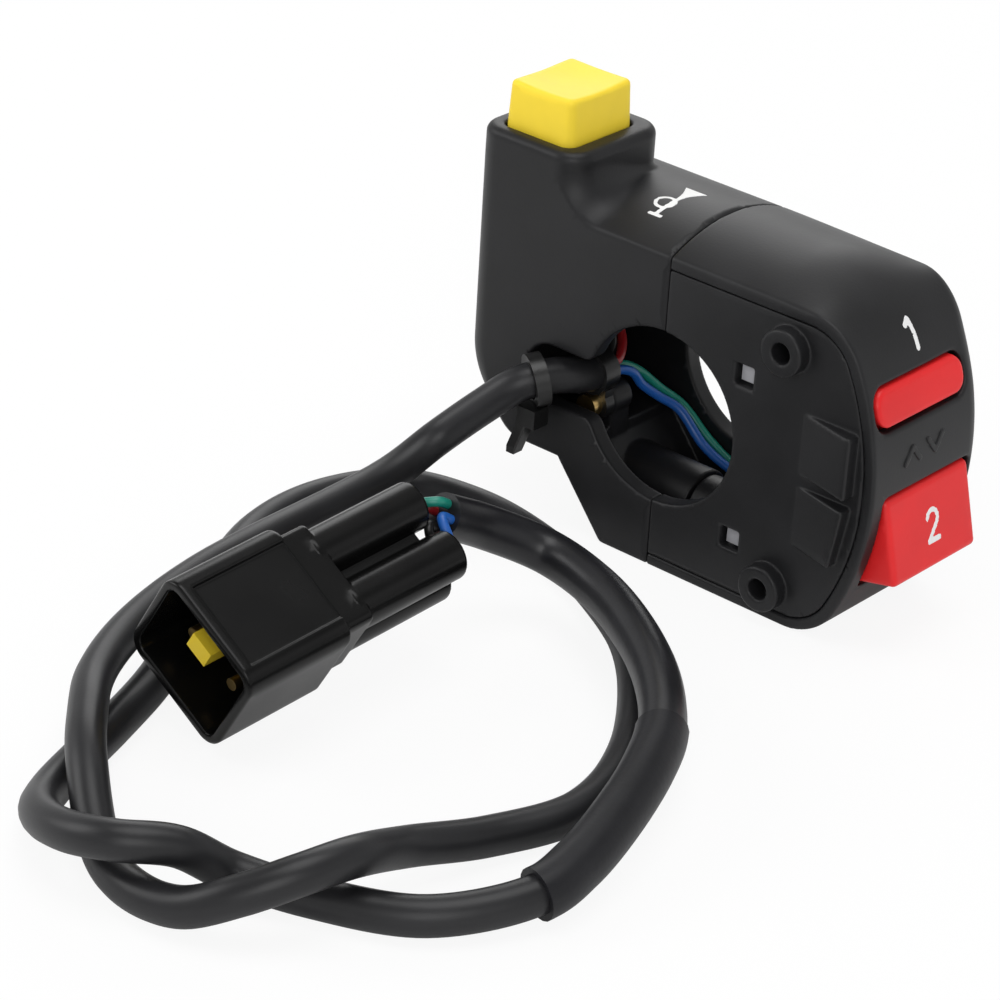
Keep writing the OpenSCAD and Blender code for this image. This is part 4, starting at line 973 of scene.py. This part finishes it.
# Wires inside the clamp, from the sheath's end to their terminals
WIRE_OFF, WIRE_LEAD = 0.75, 1.5
SHEATH_END = CABLE_ROUTE[0][1]
TAB_X = 13.4 - WIRE_D / 2
POST_OFF = 4
RED_POST, BLACK_POST = [(BUTTON_AT[0], BUTTON_AT[1] + side * POST_OFF) for side in (1, -1)]
INNER_WIRES = {
    "blue": ((1, -1), [
        (-12.9, 0.2, -2.4), (-12.6, 2, -4.6), (-11.4, 3.8, -6.3), (-9.3, 5.6, -8), (-5.2, 6, -11.8),
        (0, 6, -13.6), (5, 5.8, -13.6), (8.6, 5.4, -11.6), (11.2, 4.4, -9),
        (TAB_X, 3, -8.3), (TAB_X, 3, -5)]),
    "green": ((-1, -1), [
        (-14.4, 0.4, -2), (-13.8, 3, -3.6), (-12.2, 5.2, -6), (-10, 7.2, -8.2), (-5.8, 7.6, -11.6),
        (0, 7.6, -14.4), (5, 6.8, -15.2), (8.5, 5, -14.9), (10, 0, -9.4), (11.2, -1.6, -8),
        (TAB_X, -3, -7.9), (TAB_X, -3, -5)]),
    "red": ((1, 1), [
        (-15.6, 1, 1.4), (-18.5, 1.8, 4), (-22.2, 1.8, 6.4), (*RED_POST, 7.8), (*RED_POST, 9)]),
    "black": ((-1, 1), [
        (-16, -0.6, 1.8), (-19, -3.6, 4.6), (-22.2, -6.2, 6.6), (*BLACK_POST, 7.8), (*BLACK_POST, 9)])}


def make_inner_wires():
    for name, (slot, route) in INNER_WIRES.items():
        start = np.array((CLIP_X + slot[0] * WIRE_OFF, SHEATH_END, CLIP_Z + slot[1] * WIRE_OFF))
        points = smooth_route([start, start + (0, WIRE_LEAD, 0), *route], WIRE_STEPS)
        wire = strand("inner_wire_" + name, points, WIRE_D, WIRE_COLOURS[name])
        stand_for(wire, "clamp", "wire_" + name, name + "_wire")


# Room: how much of the floor's plain white shows to the camera, and in reflections
FLOOR_SEEN, FLOOR_MIRRORED = 0.9, 0.2
FLOOR_SIZE, FLOOR_GREY, FLOOR_ROUGHNESS = 4, (0.86, 0.86, 0.86, 1), 0.9
WHITE = (1, 1, 1, 1)


def make_stage():
    bpy.ops.mesh.primitive_plane_add(size=FLOOR_SIZE, location=(0, 0, FLOOR * MM))
    floor = bpy.context.object
    floor.name = "floor"
    material, nodes, links = node_tree("pale_floor")
    shader = nodes["Principled BSDF"]
    shader.inputs["Base Color"].default_value = FLOOR_GREY
    shader.inputs["Roughness"].default_value = FLOOR_ROUGHNESS
    glow = nodes.new("ShaderNodeEmission")
    glow.inputs["Color"].default_value = WHITE
    glow.inputs["Strength"].default_value = 1.0
    path = nodes.new("ShaderNodeLightPath")
    mirrored = nodes.new("ShaderNodeMath")
    mirrored.operation = "MULTIPLY"
    mirrored.inputs[1].default_value = FLOOR_MIRRORED
    links.new(path.outputs["Is Glossy Ray"], mirrored.inputs[0])
    share = nodes.new("ShaderNodeMath")
    share.operation = "MULTIPLY_ADD"
    share.inputs[1].default_value = FLOOR_SEEN
    links.new(path.outputs["Is Camera Ray"], share.inputs[0])
    links.new(mirrored.outputs[0], share.inputs[2])
    mix = nodes.new("ShaderNodeMixShader")
    links.new(share.outputs[0], mix.inputs["Fac"])
    links.new(shader.outputs[0], mix.inputs[1])
    links.new(glow.outputs[0], mix.inputs[2])
    links.new(mix.outputs[0], nodes["Material Output"].inputs["Surface"])
    floor.data.materials.append(material)


# Lamps: place and width in metres, and power
LAMPS = [("top_light", (0.05, 0, 0.9), 0.6, 3.8), ("side_light", (-0.7, -0.5, 0.5), 0.5, 2.5),
         ("front_light", (0.6, -0.7, 0.5), 0.6, 3.0), ("back_light", (-0.6, 0.75, 0.5), 0.6, 2.5)]

# Brightness of the sky by height; the camera sees plain white instead
SKY = [(0, 0.5), (0.45, 0.8), (0.65, 0.3), (1, 0.35)]


def make_sky():
    world = bpy.data.worlds.new("room")
    bpy.context.scene.world = world
    world.use_nodes = True
    nodes, links = world.node_tree.nodes, world.node_tree.links
    sky = nodes["Background"]
    sky.inputs["Strength"].default_value = 1.0
    place = nodes.new("ShaderNodeTexCoord")
    axes = nodes.new("ShaderNodeSeparateXYZ")
    links.new(place.outputs["Generated"], axes.inputs[0])
    height = nodes.new("ShaderNodeValToRGB")
    stops = height.color_ramp.elements
    for at, _ in SKY[1:-1]:
        stops.new(at)
    for stop, (at, level) in zip(stops, SKY):
        stop.position = at
        stop.color = (level, level, level, 1)
    links.new(axes.outputs["Z"], height.inputs["Fac"])
    links.new(height.outputs["Color"], sky.inputs["Color"])
    white = nodes.new("ShaderNodeBackground")
    white.inputs["Color"].default_value = WHITE
    white.inputs["Strength"].default_value = 1.0
    path = nodes.new("ShaderNodeLightPath")
    mix = nodes.new("ShaderNodeMixShader")
    links.new(path.outputs["Is Camera Ray"], mix.inputs["Fac"])
    links.new(sky.outputs[0], mix.inputs[1])
    links.new(white.outputs[0], mix.inputs[2])
    links.new(mix.outputs[0], nodes["World Output"].inputs["Surface"])


def make_lamps():
    for name, at, size, power in LAMPS:
        lamp = bpy.data.lights.new(name, "AREA")
        lamp.shape = "SQUARE"
        lamp.size = size
        lamp.energy = power
        thing = bpy.data.objects.new(name, lamp)
        thing.location = at
        thing.rotation_euler = (-Vector(at)).to_track_quat("-Z", "Y").to_euler()
        bpy.context.scene.collection.objects.link(thing)


plug_piece = make_plug()
make_cable(plug_piece)
make_inner_wires()
make_mode_shell()
make_side_cover()
make_horn_shell()
make_button()
make_rocker()
make_horn_mark()
make_upper_digit()
make_chevrons()
make_lower_digit()
dress_nodes()
make_stage()
make_sky()
make_lamps()
bpy.context.scene.view_settings.view_transform = "Standard"
